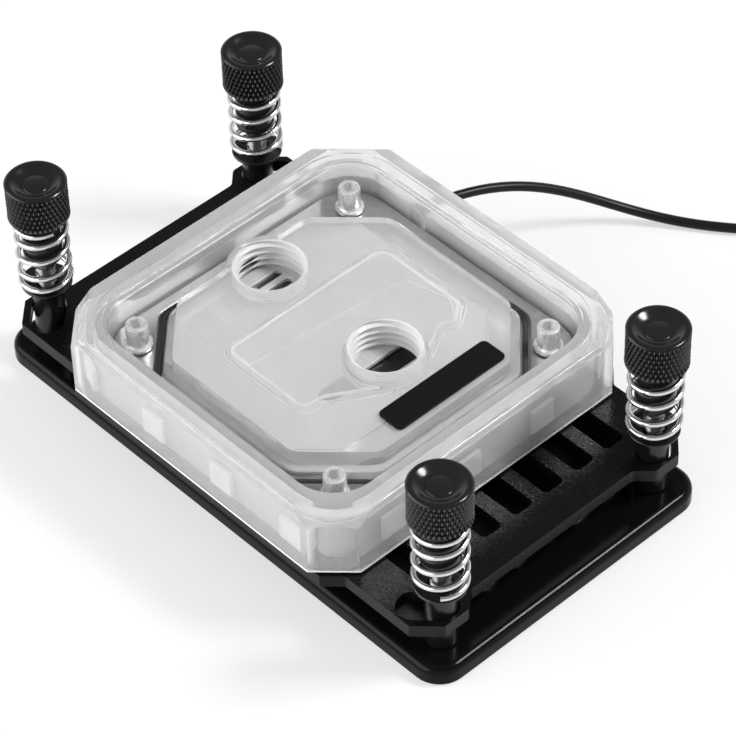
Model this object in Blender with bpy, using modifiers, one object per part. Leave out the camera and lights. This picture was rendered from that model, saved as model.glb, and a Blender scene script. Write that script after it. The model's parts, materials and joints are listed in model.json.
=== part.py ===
"""Processor water block on a four-screw mounting kit, with a lit acrylic ring.

Metres, +Z up. The origin is the centre of the backplate's underside.
The long side of the backplate runs along X, and the LED cord leaves the ring at +Y.
"""

import bisect
import math

import bmesh
import bpy

# Clearances
SEAT_GAP = 0.0003
SLIDE_GAP = 0.0004

# Screw pattern of the socket, and the newer pattern that the ear slots also reach
SCREW_X = 0.048
SCREW_Y = 0.024
SLOT_REACH = 0.003

# Backplate
PLATE_END = 0.0061
PLATE_SIDE = 0.0065
PLATE_THICK = 0.0036
PLATE_CORNER = 0.005
PLATE_EDGE = 0.0013
SPIGOT_RADIUS = 0.0019

# Standoffs, washers and springs
POST_RADIUS = 0.0027
POST_HEIGHT = 0.0125
WASHER_RADIUS = 0.0044
WASHER_THICK = 0.0005
SPRING_LENGTH = 0.0139
SPRING_RADIUS = 0.00425
SPRING_WIRE = 0.001
SPRING_TURNS = 4.4

# Thumb screws
HEAD_RADIUS = 0.00529
HEAD_HEIGHT = 0.008
HEAD_CHAMFER = 0.0007
DISH_RADIUS = 0.0042
DISH_DEPTH = 0.0009
DISC_RADIUS = 0.0023
COLLAR_RADIUS = 0.0034
COLLAR_LENGTH = 0.0088
STEM_RADIUS = 0.00175
STEM_ENGAGED = 0.006

# Mounting bracket
BOSS_DROP = 0.0049
BRACKET_THICK = 0.0024
EAR_END = 0.0035
EAR_SIDE = 0.0065
EAR_CHAMFER = 0.004
END_REACH = 0.0008
END_INSET = 0.0068
JOG_RADIUS = 0.0012
MIDDLE_SIDE_INSET = 0.0011
MIDDLE_END_INSET = 0.0044
VENT_COUNT = 7
VENT_INSET = 0.003
VENT_WIDTH = 0.0043
VENT_END = 0.0062
VENT_START = 0.0002
VENT_CORNER = 0.001

# Cold plate
BOSS_INSET = 0.0035
BOSS_CORNER = 0.002
FLANGE_THICK = 0.0029
FIN_COUNT = 20
FIN_PITCH = 0.0012
FIN_SLOT = 0.0006
FIN_DEPTH = 0.0023
FIN_END = 0.0117
PLENUM_WIDTH = 0.004
OUTLET_WIDTH = 0.0118

# Clear top
RIM_LEDGE = 0.0013
RIM_CUT = 0.0125
RIM_THICK = 0.0009
SEAT_LEDGE = 0.0012
SEAT_CUT = 0.0107
SEAT_STEP = 0.0009
SHOULDER_LEDGE = 0.0012
SHOULDER_CUT = 0.0103
SHOULDER_STEP = 0.0008
LID_HALF = 0.0247
LID_CUT = 0.0101
LID_STEP = 0.003
LID_CORNER = 0.003
CHAMBER_ROOF = 0.0048
CHAMBER_TO_PORT = 0.0012
PORT_RADIUS = 0.00575
PORT_WALL = 0.0018
PORT_MOUTH = 0.0009
PORT_1_INSET = 0.0046
PORT_1_Y = 0.0021
PORT_2_TO_LABEL = 0.0135
PORT_2_Y = 0.0026

# Jet plate
JET_THICK = 0.0008
JET_END = 0.0015
JET_TO_LABEL = 0.0036
JET_SIDE = 0.0022
JET_CUT = 0.0065
JET_SLOT_WIDTH = 0.0042
JET_SLOT_OFFSET = 0.0011
JET_SLOT_HALF = 0.011
OUTLET_SLOT_WIDTH = 0.0015
OUTLET_SLOT_PITCH = 0.0027
OUTLET_SLOT_HALF = 0.0046

# Clamp frame and its O-ring
FRAME_LIP = 0.001
FRAME_THICK = 0.0021
FRAME_EDGE = 0.0003
ORING_RADIUS = 0.0005
ORING_CORNER = 0.0025

# Clamp screws
CLAMP_INSET = 0.0054
CLAMP_HEAD_RADIUS = 0.00195
CLAMP_HEAD_HEIGHT = 0.0047
CLAMP_FOOT_RADIUS = 0.0025
CLAMP_FOOT_HEIGHT = 0.0006
CLAMP_SHANK_RADIUS = 0.0015
SOCKET_RADIUS = 0.0012
SOCKET_DEPTH = 0.0022

# Light ring
RING_WIDTH = 0.0047
RING_HEIGHT = 0.0132
RING_INNER_CORNER = 0.008
RING_FACET = 0.006
RING_SLOPE_HEIGHT = 0.0027
RING_SLOPE_RUN = 0.0038
RING_INNER_WALL = 0.0012
RING_OUTER_WALL = 0.0013
RING_ROOF = 0.0022
CHANNEL_CORNER = 0.0075
CHANNEL_OUTER_CORNER = 0.0075

# LED strip
STRIP_THICK = 0.0002
STRIP_HEIGHT = 0.0078
STRIP_LIFT = 0.0007
STRIP_SPLIT = 0.004
CHIP_SIZE = 0.005
CHIP_THICK = 0.0007
CHIP_LIFT = 0.0019
CHIP_START = 0.0067
CHIP_COUNT = 14
CHIPS_BEFORE = 6

# Label plate
LABEL_INSET = 0.0036
LABEL_Y = 0.0025
LABEL_LENGTH = 0.0242
LABEL_WIDTH = 0.0054
LABEL_THICK = 0.0005
LABEL_CORNER = 0.001

# LED cord, as it lies: the route runs from the ring's wall to the table
CORD_RADIUS = 0.0009
CORD_EXIT_X = -0.0182
CORD_EXIT_LIFT = 0.0025
GLAND_RADIUS = 0.0017
GLAND_LENGTH = 0.0022
GLAND_FLANGE = 0.0024
COIL_RADIUS = 0.0105
COIL_WIDTH = 0.0052
COIL_HEIGHT = 0.0044
TABLE_GAP = 0.0001
PLUG_LENGTH = 0.0125
PLUG_WIDTH = 0.008
PLUG_HEIGHT = 0.0056

# Plan sizes, worked out from the lid and the screw pattern
PLATE_LENGTH = 2 * (SCREW_X + PLATE_END)
PLATE_WIDTH = 2 * (SCREW_Y + PLATE_SIDE)
EAR_X = SCREW_X + EAR_END
EAR_Y = SCREW_Y + EAR_SIDE
END_X = SCREW_X + END_REACH
END_Y = SCREW_Y - END_INSET
SHOULDER_HALF = LID_HALF + SHOULDER_LEDGE
SEAT_HALF = SHOULDER_HALF + SEAT_LEDGE
RIM_HALF = SEAT_HALF + RIM_LEDGE
FRAME_HALF = RIM_HALF + FRAME_LIP
RING_INNER = FRAME_HALF + SLIDE_GAP
RING_HALF = RING_INNER + RING_WIDTH
MIDDLE_X = RING_HALF - MIDDLE_END_INSET
MIDDLE_Y = RING_HALF - MIDDLE_SIDE_INSET
VENT_PITCH = 2 * (SCREW_Y - VENT_INSET) / (VENT_COUNT - 1)
VENT_OUTER_X = END_X - VENT_END
VENT_INNER_X = RING_INNER + VENT_START
CLAMP_HALF = FRAME_HALF - CLAMP_INSET
BOSS_HALF = CLAMP_HALF - BOSS_INSET
FIN_HALF = LID_HALF - FIN_END
LABEL_X = LID_HALF - LABEL_INSET
PORT_1_X = PORT_1_INSET - LID_HALF
PORT_2_X = LABEL_X - PORT_2_TO_LABEL
JET_LOW_X = -LID_HALF - JET_END
JET_HIGH_X = LABEL_X - JET_TO_LABEL
JET_HALF_Y = LID_HALF - JET_SIDE

# Levels, stacked from the table up
BRACKET_BASE = PLATE_THICK + SEAT_GAP + BOSS_DROP
BRACKET_TOP = BRACKET_BASE + BRACKET_THICK
FLANGE_BASE = BRACKET_TOP + SEAT_GAP
FLANGE_TOP = FLANGE_BASE + FLANGE_THICK
TOP_BASE = FLANGE_TOP + SEAT_GAP
RIM_TOP = TOP_BASE + RIM_THICK
SEAT_TOP = RIM_TOP + SEAT_STEP
FRAME_BASE = RIM_TOP + SEAT_GAP
FRAME_TOP = FRAME_BASE + FRAME_THICK
SHOULDER_TOP = FRAME_TOP + SHOULDER_STEP
LID_TOP = SHOULDER_TOP + LID_STEP
RING_BASE = BRACKET_TOP + SEAT_GAP
RING_TOP = RING_BASE + RING_HEIGHT
POST_TOP = PLATE_THICK + POST_HEIGHT
WASHER_BASE = POST_TOP + SEAT_GAP
WASHER_TOP = WASHER_BASE + WASHER_THICK
SPRING_BASE = WASHER_TOP + SEAT_GAP
SPRING_TOP = SPRING_BASE + SPRING_LENGTH
HEAD_BASE = SPRING_TOP + SEAT_GAP
FRAME_CORNER = RING_INNER_CORNER - SLIDE_GAP
BORE_RADIUS = STEM_RADIUS + SEAT_GAP
CLAMP_HOLE = CLAMP_SHANK_RADIUS + SEAT_GAP

CORNERS = {
    "front": (1, -1),
    "right": (1, 1),
    "back": (-1, 1),
    "left": (-1, -1),
}
SPRING_PHASE = {"front": 0.0, "right": 0.45, "back": 0.2, "left": 0.7}

for item in list(bpy.data.objects):
    bpy.data.objects.remove(item, do_unlink=True)

parts = bpy.data.collections.new("cpu_water_block")
cutters = bpy.data.collections.new("cutters")
bpy.context.scene.collection.children.link(parts)
bpy.context.scene.collection.children.link(cutters)


def material(name, colour, roughness, metallic=0.0, transmission=0.0):
    made = bpy.data.materials.new(name)
    made.use_nodes = True
    shader = made.node_tree.nodes["Principled BSDF"]
    shader.inputs["Base Color"].default_value = (*colour, 1.0)
    shader.inputs["Roughness"].default_value = roughness
    shader.inputs["Metallic"].default_value = metallic
    shader.inputs["Transmission Weight"].default_value = transmission
    return made


GLOSS_BLACK = material("gloss_black_steel", (0.012, 0.012, 0.013), 0.25, 0.2)
SATIN_BLACK = material("satin_black_steel", (0.02, 0.02, 0.021), 0.38, 0.3)
POST_BLACK = material("black_oxide", (0.01, 0.01, 0.011), 0.3, 0.5)
ANODISED = material("black_anodised", (0.012, 0.012, 0.013), 0.42, 0.6)
NICKEL = material("nickel", (0.62, 0.61, 0.59), 0.28, 1.0)
COPPER_NICKEL = material("nickel_plated_copper", (0.58, 0.57, 0.55), 0.32, 1.0)
STAINLESS = material("stainless", (0.55, 0.55, 0.56), 0.35, 1.0)
CHROME = material("chrome", (0.8, 0.8, 0.82), 0.1, 1.0)
RUBBER = material("rubber", (0.015, 0.015, 0.015), 0.6)
CLEAR = material("clear_acrylic", (0.93, 0.94, 0.95), 0.08, 0.0, 0.9)
FROSTED = material("frosted_acrylic", (0.9, 0.91, 0.92), 0.25, 0.0, 0.8)
STRIP_WHITE = material("strip_white", (0.75, 0.76, 0.77), 0.5)
CHIP_WHITE = material("chip_white", (0.9, 0.9, 0.87), 0.35)
LABEL_BLACK = material("label_black", (0.01, 0.01, 0.01), 0.4)
CORD_BLACK = material("cord_black", (0.012, 0.012, 0.012), 0.45)
PLUG_BLACK = material("plug_black", (0.015, 0.015, 0.015), 0.4)


def place(name, mesh, look, home, location=(0.0, 0.0, 0.0)):
    body = bpy.data.objects.new(name, mesh)
    body.location = location
    home.objects.link(body)
    if look is not None:
        mesh.materials.clear()
        mesh.materials.append(look)
    if home == cutters:
        body.hide_render = True
        body.display_type = "WIRE"
    return body


def smooth(body, angle=35.0):
    body.data.shade_smooth()
    body.data.set_sharp_from_angle(angle=math.radians(angle))


def weld(mesh, distance=0.000002):
    work = bmesh.new()
    work.from_mesh(mesh)
    bmesh.ops.remove_doubles(work, verts=work.verts, dist=distance)
    work.to_mesh(mesh)
    work.free()


def mesh_from_curve(holder, name, look, home):
    bpy.context.view_layer.update()
    ready = holder.evaluated_get(bpy.context.evaluated_depsgraph_get())
    mesh = bpy.data.meshes.new_from_object(ready)
    mesh.name = name
    weld(mesh)
    body = place(name, mesh, look, home)
    body.matrix_world = holder.matrix_world.copy()
    bpy.data.objects.remove(holder, do_unlink=True)
    return body


def outline_solid(name, loops, low, high, look, home=parts):
    curve = bpy.data.curves.new(name + "_outline", "CURVE")
    curve.dimensions = "2D"
    curve.fill_mode = "BOTH"
    curve.extrude = (high - low) / 2
    curve.render_resolution_u = 0
    for loop in loops:
        spline = curve.splines.new("POLY")
        spline.points.add(len(loop) - 1)
        for point, (x, y) in zip(spline.points, loop):
            point.co = (x, y, 0.0, 1.0)
        spline.use_cyclic_u = True
    holder = bpy.data.objects.new(name + "_outline", curve)
    holder.location.z = (low + high) / 2
    home.objects.link(holder)
    return mesh_from_curve(holder, name, look, home)


def rounded(corners, segments=4):
    """Points of a closed outline whose corners (x, y, radius) are rounded."""
    points = []
    count = len(corners)
    for index, (x, y, radius) in enumerate(corners):
        before = corners[index - 1]
        after = corners[(index + 1) % count]
        if radius <= 0:
            points.append((x, y))
            continue
        ax, ay = before[0] - x, before[1] - y
        bx, by = after[0] - x, after[1] - y
        a_length, b_length = math.hypot(ax, ay), math.hypot(bx, by)
        ax, ay, bx, by = ax / a_length, ay / a_length, bx / b_length, by / b_length
        half = math.acos(max(-1.0, min(1.0, ax * bx + ay * by))) / 2
        reach = min(radius / math.tan(half), 0.49 * a_length, 0.49 * b_length)
        radius = reach * math.tan(half)
        mx, my = ax + bx, ay + by
        middle = math.hypot(mx, my)
        cx = x + mx / middle * radius / math.sin(half)
        cy = y + my / middle * radius / math.sin(half)
        start = math.atan2(y + ay * reach - cy, x + ax * reach - cx)
        end = math.atan2(y + by * reach - cy, x + bx * reach - cx)
        sweep = (end - start + math.pi) % (2 * math.pi) - math.pi
        for step in range(segments + 1):
            angle = start + sweep * step / segments
            points.append((cx + radius * math.cos(angle), cy + radius * math.sin(angle)))
    return points


def rectangle(low_x, low_y, high_x, high_y, radius=0.0, segments=4):
    corners = [(low_x, low_y), (high_x, low_y), (high_x, high_y), (low_x, high_y)]
    return rounded([(x, y, radius) for x, y in corners], segments)


def octagon(half, cut, radius=0.0, segments=3):
    corners = []
    for sx, sy in ((1, -1), (1, 1), (-1, 1), (-1, -1)):
        pair = [(sx * (half - cut), sy * half), (sx * half, sy * (half - cut))]
        if sx * sy > 0:
            pair.reverse()
        corners += [(x, y, radius) for x, y in pair]
    return rounded(corners, segments)


def circle(x, y, radius, sides):
    turn = 2 * math.pi / sides
    return [(x + radius * math.cos(turn * i), y + radius * math.sin(turn * i)) for i in range(sides)]


def slot(x0, y0, x1, y1, radius, segments=6):
    """Obround outline round the run from one end centre to the other."""
    along = math.atan2(y1 - y0, x1 - x0)
    points = []
    for step in range(segments + 1):
        angle = along - math.pi / 2 + math.pi * step / segments
        points.append((x1 + radius * math.cos(angle), y1 + radius * math.sin(angle)))
    for step in range(segments + 1):
        angle = along + math.pi / 2 + math.pi * step / segments
        points.append((x0 + radius * math.cos(angle), y0 + radius * math.sin(angle)))
    return points


def turned(name, profile, sides, look, home=parts, closed=False, location=(0.0, 0.0, 0.0)):
    """Solid of revolution: the profile (radius, height) runs down its outer side."""
    mesh = bpy.data.meshes.new(name)
    edges = [(i, i + 1) for i in range(len(profile) - 1)]
    if closed:
        edges.append((len(profile) - 1, 0))
    mesh.from_pydata([(radius, 0.0, height) for radius, height in profile], edges, [])
    body = place(name, mesh, look, home, location)
    screw = body.modifiers.new("turn", "SCREW")
    screw.axis = "Z"
    screw.steps = sides
    screw.render_steps = sides
    screw.use_merge_vertices = True
    screw.merge_threshold = 0.00001
    screw.use_smooth_shade = True
    return body


def box(name, low, high, look, home=parts):
    mesh = bpy.data.meshes.new(name)
    work = bmesh.new()
    bmesh.ops.create_cube(work, size=1.0)
    for vertex in work.verts:
        for axis in range(3):
            middle = (low[axis] + high[axis]) / 2
            vertex.co[axis] = middle + vertex.co[axis] * (high[axis] - low[axis])
    work.to_mesh(mesh)
    work.free()
    return place(name, mesh, look, home)


def boolean(body, other, operation):
    step = body.modifiers.new(operation.lower(), "BOOLEAN")
    step.operation = operation
    step.solver = "EXACT"
    step.object = other
    return step


def cut(body, other):
    return boolean(body, other, "DIFFERENCE")


def join(body, other):
    return boolean(body, other, "UNION")


def bevel(body, width, segments=2, angle=40.0):
    step = body.modifiers.new("bevel", "BEVEL")
    step.width = width
    step.segments = segments
    step.limit_method = "ANGLE"
    step.angle_limit = math.radians(angle)
    return step


def bevel_rim(body, height, width, segments):
    """Round only the outer edges that lie at one height."""
    work = bmesh.new()
    work.from_mesh(body.data)
    bmesh.ops.dissolve_limit(work, angle_limit=0.01, verts=work.verts, edges=work.edges)
    chosen = []
    for edge in work.edges:
        level = all(abs(body.location.z + v.co.z - height) < 0.00001 for v in edge.verts)
        if level and len(edge.link_faces) == 2 and edge.calc_face_angle(0.0) > 0.5:
            chosen.append(edge)
    bmesh.ops.bevel(
        work, geom=chosen, offset=width, offset_type="OFFSET", segments=segments,
        profile=0.5, affect="EDGES", clamp_overlap=True,
    )
    work.to_mesh(body.data)
    work.free()


def tube(name, points, radius, look):
    curve = bpy.data.curves.new(name, "CURVE")
    curve.dimensions = "3D"
    curve.bevel_depth = radius
    curve.bevel_resolution = 2
    curve.use_fill_caps = True
    curve.render_resolution_u = 0
    spline = curve.splines.new("POLY")
    spline.points.add(len(points) - 1)
    for point, place_at in zip(spline.points, points):
        point.co = (*place_at, 1.0)
    body = bpy.data.objects.new(name, curve)
    curve.materials.append(look)
    parts.objects.link(body)
    return body


def smooth_route(knots, count):
    """Evenly spaced points on a natural cubic curve through the knots."""
    reach = [0.0]
    for a, b in zip(knots, knots[1:]):
        reach.append(reach[-1] + math.dist(a, b))
    columns = [natural_cubic(reach, [knot[axis] for knot in knots]) for axis in range(3)]
    fine = 600
    dense = []
    for step in range(fine + 1):
        at = reach[-1] * step / fine
        dense.append(tuple(column(at) for column in columns))
    travel = [0.0]
    for a, b in zip(dense, dense[1:]):
        travel.append(travel[-1] + math.dist(a, b))
    points = []
    for step in range(count):
        at = travel[-1] * step / (count - 1)
        index = min(max(bisect.bisect_left(travel, at), 1), fine)
        share = (at - travel[index - 1]) / (travel[index] - travel[index - 1])
        a, b = dense[index - 1], dense[index]
        points.append(tuple(p + (q - p) * share for p, q in zip(a, b)))
    return points


def natural_cubic(xs, ys):
    count = len(xs)
    steps = [b - a for a, b in zip(xs, xs[1:])]
    upper = [0.0] * count
    right = [0.0] * count
    for i in range(1, count - 1):
        slope_change = (ys[i + 1] - ys[i]) / steps[i] - (ys[i] - ys[i - 1]) / steps[i - 1]
        pivot = 2 * (xs[i + 1] - xs[i - 1]) - steps[i - 1] * upper[i - 1]
        upper[i] = steps[i] / pivot
        right[i] = (6 * slope_change - steps[i - 1] * right[i - 1]) / pivot
    bends = [0.0] * count
    for i in range(count - 2, 0, -1):
        bends[i] = right[i] - upper[i] * bends[i + 1]

    def value(x):
        i = min(max(bisect.bisect_right(xs, x) - 1, 0), count - 2)
        h = steps[i]
        a, b = (xs[i + 1] - x) / h, (x - xs[i]) / h
        bend = ((a ** 3 - a) * bends[i] + (b ** 3 - b) * bends[i + 1]) * h * h / 6
        return a * ys[i] + b * ys[i + 1] + bend

    return value


def at_corners(x, y):
    return {name: (sx * x, sy * y) for name, (sx, sy) in CORNERS.items()}


SCREW_AT = at_corners(SCREW_X, SCREW_Y)
CLAMP_AT = at_corners(CLAMP_HALF, CLAMP_HALF)


# Backplate: rounded steel plate with a hole for each standoff's spigot
def make_backplate():
    loops = [rectangle(-PLATE_LENGTH / 2, -PLATE_WIDTH / 2, PLATE_LENGTH / 2, PLATE_WIDTH / 2, PLATE_CORNER, 6)]
    body = outline_solid("backplate", loops, 0.0, PLATE_THICK, GLOSS_BLACK)
    bevel_rim(body, PLATE_THICK, PLATE_EDGE, 3)
    for name, (x, y) in SCREW_AT.items():
        hole = outline_solid(
            "spigot_hole_" + name, [circle(x, y, SPIGOT_RADIUS + SEAT_GAP, 16)],
            -PLATE_THICK, 2 * PLATE_THICK, None, cutters,
        )
        cut(body, hole)
    smooth(body)


# Standoffs: a spigot held in the backplate, a plain post and a threaded bore for the stem
def make_standoffs():
    shoulder = PLATE_THICK + SEAT_GAP
    floor = POST_TOP - STEM_ENGAGED - SEAT_GAP
    lead = POST_RADIUS * 0.12
    profile = [
        (0.0, floor),
        (BORE_RADIUS, floor),
        (BORE_RADIUS, POST_TOP),
        (POST_RADIUS - lead, POST_TOP),
        (POST_RADIUS, POST_TOP - lead),
        (POST_RADIUS, shoulder),
        (SPIGOT_RADIUS, shoulder),
        (SPIGOT_RADIUS, 0.0),
        (0.0, 0.0),
    ]
    for name, (x, y) in SCREW_AT.items():
        turned("standoff_" + name, profile, 20, POST_BLACK, location=(x, y, 0.0))


# Mounting bracket: one flat stamping, open round the cold plate's boss
def make_bracket():
    quarter = [
        (END_X, END_Y, 0.0),
        (END_X, END_Y + JOG_RADIUS, JOG_RADIUS),
        (EAR_X, END_Y + JOG_RADIUS + (EAR_X - END_X), JOG_RADIUS),
        (EAR_X, EAR_Y - EAR_CHAMFER, 0.0),
        (EAR_X - EAR_CHAMFER, EAR_Y, 0.0),
        (MIDDLE_X + (MIDDLE_Y - EAR_Y), EAR_Y, 0.0),
        (MIDDLE_X, MIDDLE_Y, 0.0),
    ]
    corners = list(quarter)
    corners += [(-x, y, r) for x, y, r in reversed(quarter)]
    corners += [(-x, -y, r) for x, y, r in quarter]
    corners += [(x, -y, r) for x, y, r in reversed(quarter)]
    loops = [rounded(corners, 3)]
    opening = BOSS_HALF + SLIDE_GAP
    loops.append(rectangle(-opening, -opening, opening, opening, BOSS_CORNER))
    radius = POST_RADIUS + SEAT_GAP
    for sx, sy in CORNERS.values():
        inner_x, inner_y = sx * (SCREW_X - SLOT_REACH), sy * (SCREW_Y + SLOT_REACH)
        loops.append(slot(inner_x, inner_y, sx * SCREW_X, sy * SCREW_Y, radius))
    for x, y in CLAMP_AT.values():
        loops.append(circle(x, y, CLAMP_HOLE, 12))
    for side in (-1, 1):
        low = min(side * VENT_INNER_X, side * VENT_OUTER_X)
        high = max(side * VENT_INNER_X, side * VENT_OUTER_X)
        for index in range(VENT_COUNT):
            y = (index - (VENT_COUNT - 1) / 2) * VENT_PITCH
            loops.append(rectangle(low, y - VENT_WIDTH / 2, high, y + VENT_WIDTH / 2, VENT_CORNER, 2))
    body = outline_solid("mounting_bracket", loops, BRACKET_BASE, BRACKET_TOP, SATIN_BLACK)
    smooth(body)


# Cold plate: contact boss through the bracket, flange on the bracket, micro fins in its top
def make_cold_plate():
    half = FRAME_HALF
    flange = rectangle(-half, -half, half, half, FRAME_CORNER, 5)
    holes = [circle(x, y, CLAMP_HOLE, 12) for x, y in CLAMP_AT.values()]
    body = outline_solid("cold_plate", [flange] + holes, FLANGE_BASE, FLANGE_TOP, COPPER_NICKEL)
    boss = outline_solid(
        "contact_boss", [rectangle(-BOSS_HALF, -BOSS_HALF, BOSS_HALF, BOSS_HALF, BOSS_CORNER)],
        PLATE_THICK + SEAT_GAP, (FLANGE_BASE + FLANGE_TOP) / 2, None, cutters,
    )
    join(body, boss)
    floor = FLANGE_TOP - FIN_DEPTH
    above = FLANGE_TOP + FIN_DEPTH
    field = FIN_COUNT * FIN_PITCH
    groove = box(
        "fin_groove", (-FIN_HALF - FIN_SLOT, -FIN_SLOT / 2, floor), (FIN_HALF + FIN_SLOT, FIN_SLOT / 2, above), None, cutters,
    )
    groove.location.y = -(field - FIN_PITCH) / 2
    rows = groove.modifiers.new("rows", "ARRAY")
    rows.count = FIN_COUNT
    rows.use_relative_offset = False
    rows.use_constant_offset = True
    rows.constant_offset_displace = (0.0, FIN_PITCH, 0.0)
    cut(body, groove)
    reach_y = field / 2
    inlet = box("return_channel", (FIN_HALF, -reach_y, floor), (FIN_HALF + PLENUM_WIDTH, reach_y, above), None, cutters)
    outlet = box("outlet_channel", (-FIN_HALF - OUTLET_WIDTH, -reach_y, floor), (-FIN_HALF, reach_y, above), None, cutters)
    cut(body, inlet)
    cut(body, outlet)


# Jet plate: thin plate in the top's underside, with a slot over the fins and three outlets
def jet_outline(grow):
    low_x, high_x, half_y, c = JET_LOW_X - grow, JET_HIGH_X + grow, JET_HALF_Y + grow, JET_CUT
    return [
        (low_x + c, -half_y), (high_x - c, -half_y), (high_x, -half_y + c), (high_x, half_y - c),
        (high_x - c, half_y), (low_x + c, half_y), (low_x, half_y - c), (low_x, -half_y + c),
    ]


def make_jet_plate():
    loops = [jet_outline(0.0)]
    reach = JET_SLOT_HALF - JET_SLOT_WIDTH / 2
    slot_x = PORT_2_X - JET_SLOT_OFFSET
    loops.append(slot(slot_x, -reach, slot_x, reach, JET_SLOT_WIDTH / 2, 4))
    reach = OUTLET_SLOT_HALF - OUTLET_SLOT_WIDTH / 2
    for index in (-1, 0, 1):
        x = PORT_1_X + index * OUTLET_SLOT_PITCH
        loops.append(slot(x, PORT_1_Y - reach, x, PORT_1_Y + reach, OUTLET_SLOT_WIDTH / 2, 4))
    outline_solid("jet_plate", loops, TOP_BASE, TOP_BASE + JET_THICK, STAINLESS)


# Clear top: stepped octagon with a bulge round port 1, flow chamber cut from below
def chamber_outline():
    """Corners as shares of the lid's half width."""
    end_x = (PORT_1_X + PORT_RADIUS + CHAMBER_TO_PORT) / LID_HALF
    corners = [
        (end_x, -0.656, 0.12), (0.329, -0.656, 0.12), (0.341, -0.474, 0.12),
        (0.572, -0.089, 0.2), (0.531, 0.316, 0.24), (0.389, 0.571, 0.08),
        (0.45, 0.68, 0.08), (0.309, 0.87, 0.1), (end_x, 0.87, 0.16),
    ]
    return rounded([(x * LID_HALF, y * LID_HALF, radius * LID_HALF) for x, y, radius in corners], 3)


def make_clear_top():
    recess_top = TOP_BASE + JET_THICK + SEAT_GAP
    body = outline_solid("acrylic_top", [octagon(RIM_HALF, RIM_CUT)], TOP_BASE, RIM_TOP, CLEAR)
    below = (TOP_BASE + RIM_TOP) / 2
    seat = outline_solid("seat_step", [octagon(SEAT_HALF, SEAT_CUT, LID_CORNER)], below, SEAT_TOP, None, cutters)
    shoulder = outline_solid(
        "shoulder_step", [octagon(SHOULDER_HALF, SHOULDER_CUT, LID_CORNER)],
        (RIM_TOP + SEAT_TOP) / 2, SHOULDER_TOP, None, cutters,
    )
    lid = outline_solid(
        "lid_step", [octagon(LID_HALF, LID_CUT, LID_CORNER)],
        (SEAT_TOP + SHOULDER_TOP) / 2, LID_TOP, None, cutters,
    )
    bulge_radius = PORT_RADIUS + PORT_WALL
    bulge = outline_solid(
        "port_bulge", [circle(PORT_1_X, PORT_1_Y, bulge_radius, 32)],
        SHOULDER_TOP - SHOULDER_STEP / 2, LID_TOP, None, cutters,
    )
    for piece in (seat, shoulder, lid, bulge):
        join(body, piece)
    recess = outline_solid("jet_recess", [jet_outline(SEAT_GAP)], TOP_BASE - 0.001, recess_top, None, cutters)
    cut(body, recess)
    chamber = outline_solid(
        "chamber", [chamber_outline()], TOP_BASE - 0.0005, LID_TOP - CHAMBER_ROOF, None, cutters,
    )
    cut(body, chamber)
    for name, x, y in (("port_1", PORT_1_X, PORT_1_Y), ("port_2", PORT_2_X, PORT_2_Y)):
        mouth = PORT_RADIUS + PORT_MOUTH
        profile = [
            (0.0, LID_TOP + PORT_MOUTH), (mouth + PORT_MOUTH, LID_TOP + PORT_MOUTH),
            (mouth, LID_TOP), (PORT_RADIUS, LID_TOP - PORT_MOUTH),
            (PORT_RADIUS, TOP_BASE - PORT_MOUTH), (0.0, TOP_BASE - PORT_MOUTH),
        ]
        bore = turned(name + "_bore", profile, 32, None, cutters, location=(x, y, 0.0))
        cut(body, bore)
    smooth(body)


# O-ring: round section on the seat step, following the octagon
def make_oring():
    middle = SHOULDER_HALF + SEAT_GAP + ORING_RADIUS
    cut_leg = SHOULDER_CUT + (SEAT_GAP + ORING_RADIUS) * (2 - math.sqrt(2))
    height = SEAT_TOP + SEAT_GAP + ORING_RADIUS
    route = [(x, y, height) for x, y in octagon(middle, cut_leg, ORING_CORNER, 4)]
    body = tube("o_ring", route, ORING_RADIUS, RUBBER)
    body.data.splines[0].use_cyclic_u = True
    body.data.use_fill_caps = False


# Clamp frame: nickel plate round the octagon
def make_clamp_frame():
    half = FRAME_HALF
    opening = SEAT_HALF + SEAT_GAP
    inner = octagon(opening, SEAT_CUT + SEAT_GAP * (2 - math.sqrt(2)), LID_CORNER)
    loops = [rectangle(-half, -half, half, half, FRAME_CORNER, 5), inner]
    loops += [circle(x, y, CLAMP_HOLE, 12) for x, y in CLAMP_AT.values()]
    body = outline_solid("clamp_frame", loops, FRAME_BASE, FRAME_TOP, NICKEL)
    bevel_rim(body, FRAME_TOP, FRAME_EDGE, 1)


# Clamp screws: tall socket heads, shanks through frame and cold plate into the bracket
def make_clamp_screws():
    foot = FRAME_TOP + SEAT_GAP
    top = foot + CLAMP_HEAD_HEIGHT
    edge = CLAMP_HEAD_RADIUS * 0.15
    profile = [
        (0.0, top), (CLAMP_HEAD_RADIUS - edge, top), (CLAMP_HEAD_RADIUS, top - edge),
        (CLAMP_HEAD_RADIUS, foot + CLAMP_FOOT_HEIGHT), (CLAMP_FOOT_RADIUS, foot + CLAMP_FOOT_HEIGHT),
        (CLAMP_FOOT_RADIUS, foot), (CLAMP_SHANK_RADIUS, foot),
        (CLAMP_SHANK_RADIUS, BRACKET_BASE + SEAT_GAP), (0.0, BRACKET_BASE + SEAT_GAP),
    ]
    for name, (x, y) in CLAMP_AT.items():
        body = turned("clamp_screw_" + name, profile, 16, CHROME, location=(x, y, 0.0))
        socket = outline_solid(
            "hex_socket_" + name, [circle(x, y, SOCKET_RADIUS, 6)],
            top - SOCKET_DEPTH, top + SOCKET_DEPTH, None, cutters,
        )
        cut(body, socket)


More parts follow.
